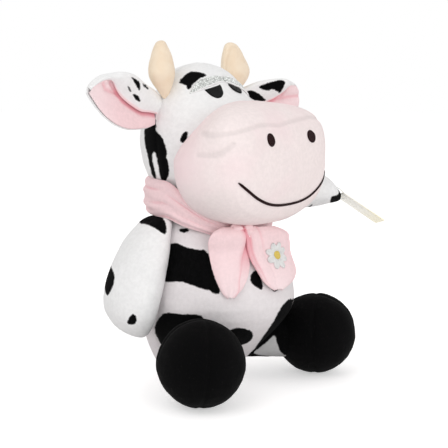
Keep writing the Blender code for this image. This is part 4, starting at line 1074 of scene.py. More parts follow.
def stuffed(obj, voxel=0.004, rounds=6, cap=None, seams=(), ripple=0.0008, ripple_size=0.022, keep=0.7):
    """Remesh a form, round it, fill it, draw it back towards the form, and sink its seams."""
    form = obj.copy()
    form.data = obj.data.copy()
    bpy.context.scene.collection.objects.link(form)
    modify(obj, "REMESH", mode="VOXEL", voxel_size=voxel)
    modify(obj, "SMOOTH", factor=0.5, iterations=rounds)
    fill_cloth(obj, cap or sizes().swell, seams)
    modify(obj, "SUBSURF", levels=1, render_levels=1)
    group = obj.vertex_groups.new(name="keep")
    group.add(list(range(len(obj.data.vertices))), keep, "REPLACE")
    modify(obj, "SHRINKWRAP", target=form, wrap_mode="ABOVE_SURFACE", offset=FORM_GAP, vertex_group="keep")
    obj.vertex_groups.clear()
    bpy.data.objects.remove(form)
    modify(obj, "SMOOTH", factor=0.5, iterations=3)
    if ripple:
        cloud = bpy.data.textures.new(f"{obj.name}_ripple", "CLOUDS")
        cloud.noise_scale = ripple_size
        cloud.noise_depth = 1
        modify(obj, "DISPLACE", texture=cloud, strength=ripple * 2.0, mid_level=0.5, texture_coords="LOCAL")
    near = near_seam(points_of(obj), seams)
    push_out(obj, -sizes().seam_depth * bell(near, SEAM_SPREAD))
    set_mark(obj, "seam", near)
    set_mark(obj, "hide", np.full(len(near), -UNMARKED))
    return obj


# Printed spots
def view_axes(view):
    """Towards the eye, across and up, for a turn and a height in degrees."""
    turn, height = (math.radians(part) for part in view)
    back = Vector((math.sin(turn) * math.cos(height), -math.cos(turn) * math.cos(height), math.sin(height)))
    across = Vector((math.cos(turn), math.sin(turn), 0.0))
    return tuple(np.array(axis) for axis in (back, across, back.cross(across)))


def rounded(outline, rounds=2):
    """Cut an outline's corners again and again."""
    points = np.array(outline, float)
    for _ in range(rounds):
        ahead = np.roll(points, -1, axis=0)
        points = np.stack((points * 0.75 + ahead * 0.25, points * 0.25 + ahead * 0.75), axis=1).reshape(-1, 2)
    return points


def round_spot(middle_u, middle_v, wide, tall, turn, wobble):
    """Outline of a lobed spot."""
    points = []
    c, s = math.cos(turn), math.sin(turn)
    for i in range(16):
        angle = 2.0 * math.pi * i / 16
        reach = 1.0 + 0.20 * math.sin(2.0 * angle + wobble) + 0.13 * math.sin(3.0 * angle + 2.1 * wobble)
        reach += 0.07 * math.sin(5.0 * angle + 1.7 * wobble)
        u, v = reach * wide / 2.0 * math.cos(angle), reach * tall / 2.0 * math.sin(angle)
        points.append((middle_u + u * c - v * s, middle_v + u * s + v * c))
    return points


def depth_inside(points, outline):
    """Distance from each point to an outline, more than zero inside it."""
    start, end = outline, np.roll(outline, -1, axis=0)
    edge = end - start
    to_start = points[:, None, :] - start[None]
    share = np.clip((to_start * edge).sum(2) / (edge**2).sum(1), 0.0, 1.0)
    gap = np.linalg.norm(to_start - share[..., None] * edge, axis=2).min(1)
    above = (start[:, 1] > points[:, None, 1]) != (end[:, 1] > points[:, None, 1])
    rise = np.where(np.abs(edge[:, 1]) < 1e-12, 1e-12, edge[:, 1])
    cross = start[:, 0] + (points[:, None, 1] - start[:, 1]) * edge[:, 0] / rise
    inside = (above & (points[:, None, 0] < cross)).sum(1) % 2 == 1
    return np.where(inside, gap, -gap)


def spot_depth(obj, spots=(), round_spots=()):
    """How far inside a printed spot each point lies, in metres."""
    points, normals = points_of(obj), vectors_of(obj, "normal")
    found = np.full(len(points), -UNMARKED)
    laid = [(view, np.array(flat, float).reshape(-1, 2), 0.3) for view, flat in spots]
    laid += [(spot[0], np.array(round_spot(*spot[1:])), -0.32) for spot in round_spots]
    for view, outline, margin in laid:
        back, across, up = view_axes(view)
        flat = np.stack((points @ across, points @ up), axis=1)
        deep = depth_inside(flat, rounded(outline) * 0.001)
        found = np.maximum(found, np.minimum(deep, (normals @ back + margin) * 0.12))
    return np.clip(found, -UNMARKED, UNMARKED)


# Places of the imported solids
def body_at(up, away=0.0):
    """Middle Y and half width of the body at a height."""
    wide, forward = along(BODY_ROWS, min(max(up / sizes().body_height, 0.0), 1.0))
    return -forward * sizes().belly_forward, wide * sizes().body_width / 2.0 + away


def belly_point(angle, up, away):
    """A place at a distance out from the body, by angle from straight ahead."""
    middle, half = body_at(up, away)
    return Vector((math.sin(angle) * half, middle - math.cos(angle) * half, up))


def head_place():
    return turned((0.0, HEAD_Y, sizes().body_height + SEWN_GAP), (0.0, 0.0, math.radians(HEAD_TURN)))


def ear_place(side, word):
    rise, sweep = EAR_TURNS[word]
    turn = (0.0, -side * math.radians(rise), -side * math.radians(sweep))
    return turned((side * EAR_ROOT[0], *EAR_ROOT[1:]), turn, head_place())


def arm_place(side, word):
    swing, heading = ARM_TURNS[word]
    turn = (0.0, -side * math.radians(swing), side * math.radians(heading))
    up = sizes().body_height - SHOULDER_DROP
    middle, half = body_at(up, SEWN_GAP)
    across = half * math.sqrt(1.0 - ((SHOULDER_Y - middle) / half) ** 2)
    return turned((side * across, SHOULDER_Y, up), turn)


def face_rays(*objects):
    """A tree of the faces of finished pieces, to lay trims on."""
    points, faces = [], []
    for obj in objects:
        first = len(points)
        points += [v.co.copy() for v in obj.data.vertices]
        faces += [[first + i for i in face.vertices] for face in obj.data.polygons]
    return BVHTree.FromPolygons(points, faces)


def laid_point(tree, place, across, up):
    """Where a ray from ahead of a place meets the surface, and the normal there."""
    aim = (place.to_3x3() @ Y_AXIS).normalized()
    point, normal, _, _ = tree.ray_cast(place @ Vector((across, -RAY_START, up)), aim)
    if point is None:
        raise ValueError("a trim lies outside the surface that carries it")
    return point, -normal if normal.dot(aim) > 0.0 else normal


def cloth_grid(name, across, ahead, point_at):
    """A grid of cloth that is laid point by point, by shares across and ahead."""
    only()
    bpy.ops.mesh.primitive_grid_add(x_subdivisions=across, y_subdivisions=ahead, size=1.0)
    obj = named(name)
    grid = points_of(obj)[:, :2] + 0.5
    move_to(obj, [point_at(float(u), float(v)) for u, v in grid])
    return obj, grid


def thickened(obj, thickness):
    """Give a laid cloth its thickness and round its edges."""
    modify(obj, "SOLIDIFY", thickness=thickness, offset=0.0)
    modify(obj, "SUBSURF", levels=1, render_levels=1)


def crowned_patch(name, tree, place, rows, raise_by, across=16, ahead=16):
    """A padded patch of stitches on a surface; rows(u, v) gives its places seen from ahead."""

    def point_at(u, v):
        point, normal = laid_point(tree, place, *rows(u, v))
        rim = min(1.0, 6.0 * min(u, 1.0 - u)) * min(1.0, 6.0 * min(v, 1.0 - v))
        return point + normal * (STITCH_LIE + raise_by * math.sqrt(max(0.0, rim * (2.0 - rim))))

    obj, _ = cloth_grid(name, across, ahead, point_at)
    modify(obj, "SOLIDIFY", thickness=0.0007, offset=-1.0)
    return obj


def disc(half_u, half_v, u, v, lean=0.0):
    """A square's shares turned into the places of a disc that leans."""
    x, y = 2.0 * u - 1.0, 2.0 * v - 1.0
    x, y = half_u * x * math.sqrt(1.0 - y * y / 2.0), half_v * y * math.sqrt(1.0 - x * x / 2.0)
    return x * math.cos(lean) - y * math.sin(lean), x * math.sin(lean) + y * math.cos(lean)


# Face
def smile_at(share):
    """Across and up on the muzzle, along the smile from its right end to its left."""
    t = 2.0 * share - 1.0
    return t * SMILE_HALF_SPAN, SMILE_END_UP - SMILE_SAG * (1.0 - abs(t) ** SMILE_POWER)


def smile_rows(u, v):
    """A band of even width along the smile, drawn in at its ends."""
    ahead = Vector(smile_at(min(1.0, v + 0.01))) - Vector(smile_at(max(0.0, v - 0.01)))
    side = Vector((-ahead.y, ahead.x)).normalized() * sizes().stitch_width / 2.0 * (2.0 * u - 1.0)
    drawn = max(0.35, min(1.0, 60.0 * min(v, 1.0 - v)) ** 0.5)
    x, y = smile_at(v)
    return x + side.x * drawn, y + side.y * drawn


def nostril_rows(side, word, u, v):
    """Disc that leans outwards."""
    middle, half_u, half_v = NOSTRILS[word]
    x, y = disc(half_u, half_v, u, v, -side * math.radians(NOSTRIL_LEAN))
    return middle + x, NOSTRIL_UP + y


def eye_rows(word, u, v):
    """Half disc with a flat top that slants down outwards."""
    inner, outer, fullness = EYE_ENDS[word]
    deep = along(EYE_ROWS, 1.0 - v)[0] * fullness
    return inner + (outer - inner) * v, EYE_TOP - EYE_SLANT * v - deep * (1.0 - u)


def lid_rows(word, u, v):
    """Crescent over the eye, straight below and arched above."""
    inner, outer = LID_ENDS[word]
    low, high = along(LID_ROWS[word], v)
    return inner + (outer - inner) * v, low + (high - low) * u


# Ears
def tip_rim(word, share):
    """How far the tip is rimmed by the outer cloth; below zero where the lining covers it."""
    rim = min(1.0, max(0.0, (share - 0.84) / 0.12))
    return rim if word == "right" else -rim


def ear_cloths(side, word, creases):
    """The functions that lay an ear's lining and its outer cloth, by shares across and along."""
    place, rows = ear_place(side, word), EAR_ROWS[word]
    reach = rows[-1][0]
    length, half_width = sizes().ear_length, sizes().ear_width / 2.0

    def at(share, y, z):
        return place @ Vector((side * share * length, y, z))

    def cup(share, z):
        """How far ahead the cupped ear lies."""
        return -0.012 * (z / half_width) ** 2 * min(1.0, 0.4 + share)

    def lining_at(u, v):
        share = 0.003 + (reach - 0.012) * v
        low, high, flap = along(rows, share) * half_width
        low, high = low + 0.0012, high - 0.0016 - 0.0012 * tip_rim(word, share)
        z = low + (high - low) * u
        bow = math.sin(math.pi * min(1.0, max(0.0, (z - low) / max(0.004, flap - low))))
        sink = bell(z - flap, 0.005) * min(1.0, 8.0 * max(0.0, 1.02 - share))
        gap = min(float(line_gap([(share * length, z)], line)[0]) for line in creases)
        pinch = 0.0014 * bell(gap, 0.0032) - 0.0008 * bell(gap - 0.0060, 0.0036)
        return at(share, cup(share, z) - 0.0022 * bow * min(1.0, 4.0 * share) + 0.0014 * sink + pinch, z)

    def outer_at(u, v):
        share = 0.003 + (reach - 0.003) * v
        low, high, flap = along(rows, share) * half_width
        rim = tip_rim(word, share)
        roll = min(0.0030, max(0.0018, 0.36 * (high - flap)), 0.12 * (high - low) + 0.0006)
        roll *= (1.0 + 0.6 * min(0.0, rim)) * min(1.0, 0.1 + (reach - share) / 0.06)
        if u < 0.50:
            z = low + (high - low) * u / 0.50
            return at(share, cup(share, z) + 0.0030, z)
        if u < 0.66:
            angle = math.pi * (u - 0.50) / 0.16
            y = cup(share, high) + 0.0030 - roll * (1.0 - math.cos(angle))
            return at(share, y, high + roll * 0.7 * math.sin(angle))
        q = (u - 0.66) / 0.34
        z = high + (flap - high) * q
        lift = (0.0030 - 2.0 * roll) * (1.0 - q) - 0.0016 * q - roll * math.sin(math.pi * min(1.0, q * 1.06))
        lift -= (0.0010 if rim > 0.0 else 0.0038) * rim
        return at(share, cup(share, z) + lift, z)

    return lining_at, outer_at


# Scarf
def scarf_row(turn_out):
    """Half height and middle height of the scarf, by the direction out from the neck."""
    tall, drop = along(SCARF_ROWS, (1.0 + turn_out.y) / 2.0)
    return tall * SCARF_TALL, sizes().body_height + SCARF_UP - drop * SCARF_DROP


def scarf_point(out, reach, up):
    """A place round the neck, at a distance out from the scarf's middle ring."""
    return Vector((0.0, body_at(sizes().body_height)[0] - SCARF_BACK, up)) + out * (SCARF_RADIUS + reach)


def between(rows, share):
    """A height part of the way down a table of rows, closer together at its ends, and its numbers."""
    top, bottom = rows[0][0], rows[-1][0]
    up = top + (bottom - top) * (0.5 - 0.5 * math.cos(math.pi * share))
    return up, along(sorted(rows), up)


def near_tail_at(rows, pleat, u, v):
    """A place on a tail that lies round the chest."""
    up, (low_angle, high_angle, away) = between(rows, v)
    t = 2.0 * u - 1.0
    out = away + 0.0020 * (1.0 - t * t) + pleat * math.sin(2.2 * math.pi * t + 9.0 * v)
    return belly_point(math.radians(low_angle + (high_angle - low_angle) * u), up, out)


def far_pleat(u, v):
    """Folds that run down from the knot and die out."""
    first = bell(u - 0.10, 0.05) + 0.75 * bell(u - 0.30 - 0.06 * v, 0.06)
    return (first + 0.5 * bell(u - 0.93, 0.06)) * (1.0 - v) ** 0.7


def far_tail_at(u, v):
    """A place on the tail that hangs clear of the chest towards the cow's left."""
    up, (angle, away, width) = between(FAR_TAIL_ROWS, v)
    heading = math.radians(-14.0 + 13.0 * u / 2.0)
    turn = math.radians(-14.0 + 13.0 * u)
    swell = 0.0026 * math.sin(math.pi * u) - 0.0030 * far_pleat(u, v)
    swell += 0.0012 * math.sin(3.0 * math.pi * u + 1.0) * v * v
    place = belly_point(math.radians(angle), up, away)
    place += Vector((math.cos(heading), math.sin(heading), -0.085)) * (u * width)
    return place + Vector((math.sin(turn), -math.cos(turn), 0.0)) * swell


def near_tail_shade(u, v):
    """Painted shade: deeper pink down the edges of the near tail and under the knot."""
    edges = (0.6 + 2.4 * max(0.0, 0.25 - v)) * max(0.0, u - 0.78) / 0.22 + 3.5 * max(0.0, 0.10 - u)
    return min(1.0, edges + 3.3 * max(0.0, 0.12 - v))


def far_tail_shade(u, v):
    """Painted shade: deeper pink in the pleats of the far tail and beside the knot."""
    return min(1.0, 0.7 * far_pleat(u, v) + 8.5 * max(0.0, 0.15 - u) * (1.0 - v) + 2.0 * max(0.0, 0.10 - v))


def fold_tail_shade(u, v):
    """Painted shade: deeper pink high up on the near tail's fold and towards its outer edge."""
    return min(1.0, max(0.0, 1.2 - 1.6 * v) + 0.25 * (1.0 - u))


# Operators
class PieceOperator:
    """What every operator of this file shares."""

    bl_options = {"REGISTER", "UNDO"}


class COW_OT_body(PieceOperator, bpy.types.Operator):
    """Sew and fill the pear-shaped body"""

    bl_idname = "cow.body"
    bl_label = "Body"

    def execute(self, context):
        height = sizes().body_height
        rings = []
        for share in shares(26):
            middle, half = body_at(share * height, -SKIN_IN)
            rings.append((share * height, 0.0, middle, half, half))
        rings[0] = (SEWN_GAP, *rings[0][1:])
        obj = ringed("body_plush", rings, Matrix.Identity(4))
        seams = (plane_seam((0.0, 0.0, 0.0), X_AXIS, Y_AXIS), plane_seam((0.0, -0.010, 0.0), Y_AXIS))
        stuffed(obj, seams=seams, ripple=0.0010, ripple_size=0.030)
        lift_to(obj, SEAT_UP)
        set_mark(obj, "hide", spot_depth(obj, BODY_SPOTS, BODY_ROUND))
        # The darker belly white is painted shade under the head and muzzle.
        cloth = plush("body_plush", tint("shaded_belly_plush"), tint("black_plush"))
        settle(obj, cloth, "white_plush", "torso", "body_skin", "body_filling", "seat_pellet_bag", fill=0.75)
        return {"FINISHED"}


class COW_OT_head(PieceOperator, bpy.types.Operator):
    """Sew and fill the white head"""

    bl_idname = "cow.head"
    bl_label = "Head"

    def execute(self, context):
        size, place = sizes(), head_place()
        rings = []
        for share in shares(26):
            wide, deep, back = along(HEAD_ROWS, share)
            half = (wide * size.head_width / 2.0, deep * size.head_width / 2.0)
            rings.append((share * size.head_height, 0.0, back * HEAD_LEAN_BACK, *half))
        obj = ringed("head_plush", rings, place)
        middle, turn = place.translation, place.to_3x3()
        behind = turn @ Y_AXIS
        seams = (plane_seam(middle, turn @ X_AXIS, behind), plane_seam(middle + behind * 0.010, behind))
        stuffed(obj, seams=seams, ripple=0.0008, ripple_size=0.026)
        set_mark(obj, "hide", spot_depth(obj, HEAD_SPOTS, HEAD_ROUND))
        cloth = plush("head_plush", tint("white_plush"), tint("black_plush"))
        settle(obj, cloth, "white_plush", "head", "head_skin", "head_filling", fill=0.85)
        return {"FINISHED"}


class COW_OT_muzzle(PieceOperator, bpy.types.Operator):
    """Sew and fill the broad pink muzzle"""

    bl_idname = "cow.muzzle"
    bl_label = "Muzzle"

    def execute(self, context):
        size, place = sizes(), head_place()
        rings, powers = [], []
        for share in shares(26):
            wide, tall, droop, square = along(MUZZLE_ROWS, share)
            half = (wide * size.muzzle_width / 2.0, tall * size.muzzle_height / 2.0)
            rings.append((share * size.muzzle_length, 0.0, -droop * MUZZLE_DROOP, *half))
            powers.append((square, MUZZLE_LOW_SQUARENESS))
        whole = place @ axes_at(MUZZLE_BACK, X_AXIS, -Y_AXIS)
        obj = ringed("muzzle_plush", rings, whole, segments=56)
        squared(obj, rings, whole, powers)
        seams = [front_seam(place, np.array(line) * 0.001) for line in (MUZZLE_PANEL, MUZZLE_CREASE)]
        stuffed(obj, seams=seams, rounds=5, ripple=0.0007, ripple_size=0.034, keep=0.85)
        points = seen_from(place, obj)
        line = np.array([smile_at(i / 80.0) for i in range(81)])
        dent = 0.0006 * bell(line_gap(points[:, (0, 2)], line), 0.004)
        for middle, _, _ in NOSTRILS.values():
            dent += 0.0008 * bell(np.hypot(points[:, 0] - middle, points[:, 2] - NOSTRIL_UP), 0.009)
        push_out(obj, np.where(points[:, 1] < -0.045, -dent, 0.0))
        # Painted shade: pinker and darker towards the muzzle's back rim, where it curves in to the head.
        set_mark(obj, "rim", ramp(points[:, 1], -0.070, -0.040))
        cloth = plush("muzzle_plush", tint("muzzle_pink"), stitch=0.26, pink_patches_and_rim_shade=tint("muzzle_pink_patches_and_rim_shade"))
        settle(obj, cloth, "pink_plush", "head", "muzzle_skin", fill=0.85)
        return {"FINISHED"}


class COW_OT_face(PieceOperator, bpy.types.Operator):
    """Stitch the smile, the nostrils and the eyes, and lay on the eyelids"""

    bl_idname = "cow.face"
    bl_label = "Face"

    def execute(self, context):
        place = head_place()
        head, muzzle = (face_rays(bpy.data.objects[name]) for name in ("head_plush", "muzzle_plush"))
        brown = thread("smile_thread", tint("smile_brown"), 900.0, slant=2.0, shine=0.05)
        black = thread("eye_thread", tint("eye_black"), 150.0, shine=0.10)
        silver = glitter()
        obj = crowned_patch("smile_stitch", muzzle, place, smile_rows, 0.0004, 6, 160)
        settle(obj, brown, "brown_thread", "head", "smile")
        for side, word in SIDES:
            for name, node, tree, rows, high, grid, cloth, slot in (
                ("nostril_stitch", "nostril", muzzle, lambda u, v: nostril_rows(side, word, u, v), 0.0008,
                 (16, 16), brown, "brown_thread"),
                ("eye_stitch", "eye", head, lambda u, v: eye_rows(word, u, v), 0.0006,
                 (20, 28), black, "black_thread"),
                ("eyelid_glitter", "eyelid", head, lambda u, v: lid_rows(word, u, v), 0.0009,
                 (16, 40), silver, "silver_cloth"),
            ):
                obj = crowned_patch(f"{name}_{word}", tree, place, rows, high, *grid)
                settle(obj, cloth, slot, "head", f"{node}_{word}")
        return {"FINISHED"}


class COW_OT_horns(PieceOperator, bpy.types.Operator):
    """Sew and fill the two horns"""

    bl_idname = "cow.horns"
    bl_label = "Horns"

    def execute(self, context):
        place = head_place()
        cloth = horn_cloth()
        low, high = HORN_HEIGHTS
        for side, word in SIDES:
            turn = turned((0.0, 0.0, 0.0), (0.0, 0.0, -side * math.radians(HORN_TURN)))
            rings = []
            for i in range(24):
                up = low + (high - low) * math.sin(math.pi / 2.0 * i / 23.0)
                out, half = along(HORN_ROWS, up)
                lean = 0.005 + 0.0036 * max(0.0, (up - 0.134) / 0.030)
                middle = turn.inverted() @ Vector((side * out, lean, 0.0))
                rings.append((up, middle.x, middle.y, half, half * HORN_FLATNESS))
            whole = place @ turn
            obj = ringed(f"horn_{word}", rings, whole, segments=28)
            axes, root = whole.to_3x3(), place @ Vector((side * 0.06, 0.0015, 0.13))
            seam = plane_seam(root, axes @ Y_AXIS, axes @ (-side * X_AXIS))
            stuffed(obj, voxel=0.0026, rounds=3, cap=0.0012, seams=(seam,), ripple=0.0004, ripple_size=0.012)
            # Painted shade: the root mark tans the cloth towards the horn's root against the head.
            set_mark(obj, "root", ramp(seen_from(whole, obj)[:, 2], 0.137, 0.107))
            settle(obj, cloth, "horn_cloth", "head", f"horn_skin_{word}", f"horn_filling_{word}", fill=0.9)
        return {"FINISHED"}


class COW_OT_ears(PieceOperator, bpy.types.Operator):
    """Cut, line and fold the two ears"""

    bl_idname = "cow.ears"
    bl_label = "Ears"

    def execute(self, context):
        lining_cloth = fleece("ear_fleece")
        pink_lip = shade(tint("scarf_pink"), 1.02)
        outer_cloth = plush("ear_plush", tint("white_plush"), tint("black_plush"), lip=pink_lip)
        length, half_width = sizes().ear_length, sizes().ear_width / 2.0
        for side, word in SIDES:
            place, rows = ear_place(side, word), EAR_ROWS[word]
            creases = [np.array(line) * 0.001 for line in EAR_CREASES[word]]
            lining_at, outer_at = ear_cloths(side, word, creases)

            lining, _ = cloth_grid(f"ear_lining_{word}_cloth", 40, 56, lining_at)
            thickened(lining, 0.0014)
            local = seen_from(place, lining)
            share = np.clip(side * local[:, 0] / length, 0.0, rows[-1][0])
            edge = np.array([along(rows, part)[2] for part in share]) * half_width
            # Painted shade: deeper pink under the edge of the flap and along the creases.
            fold = bell(local[:, 2] - edge, 0.0050) * ramp(share, 0.90, 0.70)
            flat = np.stack((share * length, local[:, 2]), axis=1)
            for line in creases:
                fold = np.maximum(fold, 0.55 * bell(line_gap(flat, line), 0.0030))
            set_mark(lining, "fold", fold)
            # Painted light: paler pink towards the tip of the lining, out of the ear's cup.
            set_mark(lining, "far", ramp(share, 0.72, 1.12))
            dress(lining, lining_cloth, "pink_fleece")

            outer, grid = cloth_grid(f"ear_back_{word}_cloth", 72, 48, outer_at)
            set_mark(outer, "lip", ramp(grid[:, 0], 0.955, 0.975) * ramp(grid[:, 1], 0.95, 0.90))
            thickened(outer, 0.0018)
            set_mark(outer, "seam", np.full(len(outer.data.vertices), UNMARKED))
            set_mark(outer, "hide", spot_depth(outer, EAR_SPOTS[word], EAR_ROUND[word]))
            dress(outer, outer_cloth, "white_plush")

            root, tip = place.translation, place @ Vector((side * 0.022, 0.0, 0.0))
            for obj, node, flat_size, area in (
                (lining, f"ear_lining_{word}", (0.056, 0.100), 0.0048),
                (outer, f"ear_back_{word}", (0.090, 0.100), 0.0072),
            ):
                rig.blend(obj, "head", f"ear_{word}", root, tip)
                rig.replaces(obj, node)
                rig.sheet(obj, flat=flat_size, held="folded", rests_on=["head_plush"], area=area)
        return {"FINISHED"}


class COW_OT_arms(PieceOperator, bpy.types.Operator):
    """Sew and fill the two arms"""

    bl_idname = "cow.arms"
    bl_label = "Arms"

    def execute(self, context):
        cloth = plush("arm_plush", tint("white_plush"), tint("black_plush"))
        spots = {"right": (ARM_RIGHT_SPOTS, ARM_RIGHT_ROUND), "left": (ARM_LEFT_SPOTS, ARM_LEFT_ROUND)}
        for side, word in SIDES:
            place = arm_place(side, word)
            whole = hanging(place)
            start, longer, drawn_up = ARM_FIT[word]
            rings = []
            for share in shares(22):
                wide, thick = along(ARM_ROWS, share)
                half = thick * ARM_THICK
                rise = drawn_up * max(0.0, (share - 0.45) / 0.55) ** 1.5
                at = start + share * (sizes().arm_length + longer)
                rings.append((at, side * (half + rise), 0.0, max(half - rise, half * 0.5), wide * ARM_WIDE))
            obj = ringed(f"arm_{word}", rings, whole, segments=36)
            turn = whole.to_3x3()
            seam = plane_seam(whole @ Vector((side * 0.019, 0.0, 0.0)), turn @ X_AXIS, turn @ -Y_AXIS)
            stuffed(obj, voxel=0.0034, rounds=5, seams=(seam,), cap=0.0022, ripple=0.0009, ripple_size=0.020)
            set_mark(obj, "hide", spot_depth(obj, *spots[word]))
            dress(obj, cloth, "white_plush")
            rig.blend(obj, "torso", f"arm_{word}", place.translation, place @ Vector((0.0, 0.0, -0.022)))
            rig.replaces(obj, f"arm_skin_{word}", f"arm_filling_{word}")
            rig.padded(obj, fill=0.8)
        return {"FINISHED"}


class COW_OT_legs(PieceOperator, bpy.types.Operator):
    """Sew and fill the short legs and the round black feet"""

    bl_idname = "cow.legs"
    bl_label = "Legs and Feet"

    def execute(self, context):
        black = tint("black_plush")
        foot_cloth = plush("foot_plush", black, sheen=0.015)
        # Painted shade: the leg's white patch is painted grey, at 0.62 of the white plush, where it lies under the
        # body.
        leg_cloth = plush("leg_plush", shade(tint("white_plush"), 0.62), black, sheen=0.0)
        radius = sizes().foot_diameter / 2.0
        for side, word in SIDES:
            middle = Vector((side * FOOT_MIDDLE[0], FOOT_MIDDLE[1], radius - 0.0005))
            rings = []
            for share in shares(20):
                angle = math.pi * share
                half = max(radius * math.sin(angle) - 0.0008, 0.001)
                rings.append((-(radius - 0.0008) * math.cos(angle), 0.0, 0.0, half, half))
            obj = ringed(f"foot_{word}", rings, Matrix.Translation(middle))
            lift_to(obj, 0.0006)
            seams = (
                plane_seam(middle, (side * 0.58, -0.82, 0.0)),
                plane_seam(middle, (side * 0.82, 0.58, 0.1), (side * 0.4, -0.7, 0.0)),
            )
            stuffed(obj, voxel=0.0036, rounds=5, seams=seams, cap=0.0018, ripple=0.0010, ripple_size=0.024)
            lift_to(obj, 0.0003)
            nodes = (f"foot_skin_{word}", f"leg_filling_{word}")
            settle(obj, foot_cloth, "black_plush", f"leg_{word}", *nodes, fill=0.9)

            hip = Vector((side * HIP[0], *HIP[1:]))
            ahead = middle - hip
            rings = [(ahead.length * (i + 0.5) / 14, *LEG_SECTION) for i in range(14)]
            obj = ringed(f"leg_{word}", rings, axes_at(hip, ahead.cross(Z_AXIS), ahead), segments=32)
            stuffed(obj, voxel=0.0036, rounds=3, cap=0.0015, ripple=0.0008, ripple_size=0.02)
            set_mark(obj, "hide", -spot_depth(obj, LEG_LEFT_LIGHT if word == "left" else ()))
            dress(obj, leg_cloth, "white_plush")
            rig.blend(obj, "torso", f"leg_{word}", hip + ahead * 0.25, hip + ahead * 0.65)
            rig.replaces(obj, f"leg_skin_{word}")
            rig.padded(obj, fill=0.8)
        return {"FINISHED"}


class COW_OT_tail(PieceOperator, bpy.types.Operator):
    """Sew the tail and its black tuft"""

    bl_idname = "cow.tail"
    bl_label = "Tail"

    def execute(self, context):
        middle, half = body_at(TAIL_UP, SEWN_GAP)
        turn = math.radians(TAIL_TURN)
        root = Vector((math.sin(turn) * half, middle + math.cos(turn) * half, TAIL_UP))
        whole = hanging(turned(root, (math.radians(TAIL_LEAN), 0.0, -turn)))
        rings = [(-0.004 + share * 0.056, 0.0, 0.0, TAIL_RADIUS, TAIL_RADIUS) for share in shares(16)]
        obj = ringed("tail_plush", rings, whole, segments=20)
        stuffed(obj, voxel=0.0022, rounds=2, cap=0.0008, ripple=0.0004, ripple_size=0.012)
        cloth = plush("tail_plush", tint("white_plush"), tint("black_plush"))
        settle(obj, cloth, "white_plush", "tail", "tail", fill=0.7)

        rings = []
        for share in shares(16):
            wide = along(TUFT_ROWS, share)[0] * TUFT_RADIUS
            rings.append((TUFT_START + share * TUFT_LENGTH, 0.0, 0.0, wide, wide))
        obj = ringed("tail_tuft_plush", rings, whole, segments=28)
        stuffed(obj, voxel=0.002, rounds=2, cap=0.0008, ripple=0.0)
        points = seen_from(whole, obj)
        angle = np.arctan2(points[:, 1], points[:, 0])
        low = ramp(points[:, 2], 0.052, 0.082)
        push_out(obj, 0.0009 * np.cos(9.0 * angle + 1.2 * np.sin(low * 6.0)) * np.sin(math.pi * low) ** 0.5)
        cloth = plush("tuft_plush", tint("black_plush"), sheen=0.015, pile=0.0008)
        settle(obj, cloth, "black_plush", "tail", "tail_tuft", fill=0.6)
        return {"FINISHED"}


class COW_OT_scarf(PieceOperator, bpy.types.Operator):
    """Gather the scarf round the neck and tie its knot"""

    bl_idname = "cow.scarf"
    bl_label = "Scarf"

    def execute(self, context):
        cloth = fleece("scarf_fleece")
        depth = sizes().fold_depth
        only()
        bpy.ops.mesh.primitive_torus_add(
            major_segments=180, minor_segments=64, major_radius=1.0, minor_radius=0.25, generate_uvs=True
        )
        obj = named("scarf_band_cloth")
        placed, fold = [], []
        for x, y, z in points_of(obj):
            turn = math.atan2(y, x)
            round_it = math.atan2(z, math.hypot(x, y) - 1.0)
            out = Vector((math.cos(turn), math.sin(turn), 0.0))
            half_height, up = scarf_row(out)
            c, s = math.cos(round_it), math.sin(round_it)
            square = 2.0 / SCARF_SQUARENESS
            reach = math.copysign(abs(c) ** square, c) * (SCARF_THICK - depth * 0.5)
            high = math.copysign(abs(s) ** square, s)
            wave = math.sin(3.1 * math.pi * high + 1.1 * math.sin(2.0 * turn + 0.6))
            wave += 0.5 * math.sin(5.3 * math.pi * high + 2.3 * math.sin(3.0 * turn) + 1.0)
            outer = max(0.0, c) ** 0.4
            placed.append(scarf_point(out, reach + depth * 0.62 * wave * outer, up + high * half_height))
            # Painted shade: deeper pink in the troughs of the folds and on the inner side against the neck.
            fold.append(max(0.0, -wave - 0.35) * 0.55 * outer + 0.25 * (1.0 - outer))
        move_to(obj, placed)
        set_mark(obj, "fold", np.clip(fold, 0.0, 1.0))
        modify(obj, "SMOOTH", factor=0.5, iterations=2)
        settle(obj, cloth, "pink_fleece", "torso", "scarf_band")
        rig.sheet(obj, flat=(0.400, 0.046), held="gathered", rests_on=["body_plush"])
        self.knot(cloth)
        return {"FINISHED"}

    def knot(self, cloth):
        angle = math.radians(KNOT_TURN)
        out = Vector((math.sin(angle), -math.cos(angle), 0.0))
        middle = scarf_point(out, KNOT_OUT + SEWN_GAP, scarf_row(out)[1])
        across = Z_AXIS.cross(out)
        whole = axes_at(middle - across * KNOT_LENGTH / 2.0, out, across)
        rings = []
        for share in shares(18):
            size = along(KNOT_ROWS, share)[0]
            rings.append((share * KNOT_LENGTH, 0.0, 0.0, size * KNOT_THICK, size * KNOT_TALL))
        obj = ringed("scarf_knot_cloth", rings, whole)
        stuffed(obj, voxel=0.0016, rounds=2, cap=0.0006, ripple=0.0)
        points = seen_from(whole, obj)
        pleat = np.sin(7.0 * np.arctan2(points[:, 1], points[:, 0]) + 90.0 * points[:, 2])
        slit = bell(points[:, 2] - 0.0145 - 0.15 * points[:, 1], 0.0013) * (points[:, 0] > 0.0)
        push_out(obj, 0.0005 * pleat - 0.0022 * slit)
        # Painted shade: deeper pink in the pleats' troughs and in the slit.
        set_mark(obj, "fold", np.clip(np.maximum(-pleat * 0.35, slit * 1.2), 0.0, 1.0))
        settle(obj, cloth, "pink_fleece", "torso", "scarf_knot", fill=0.7)


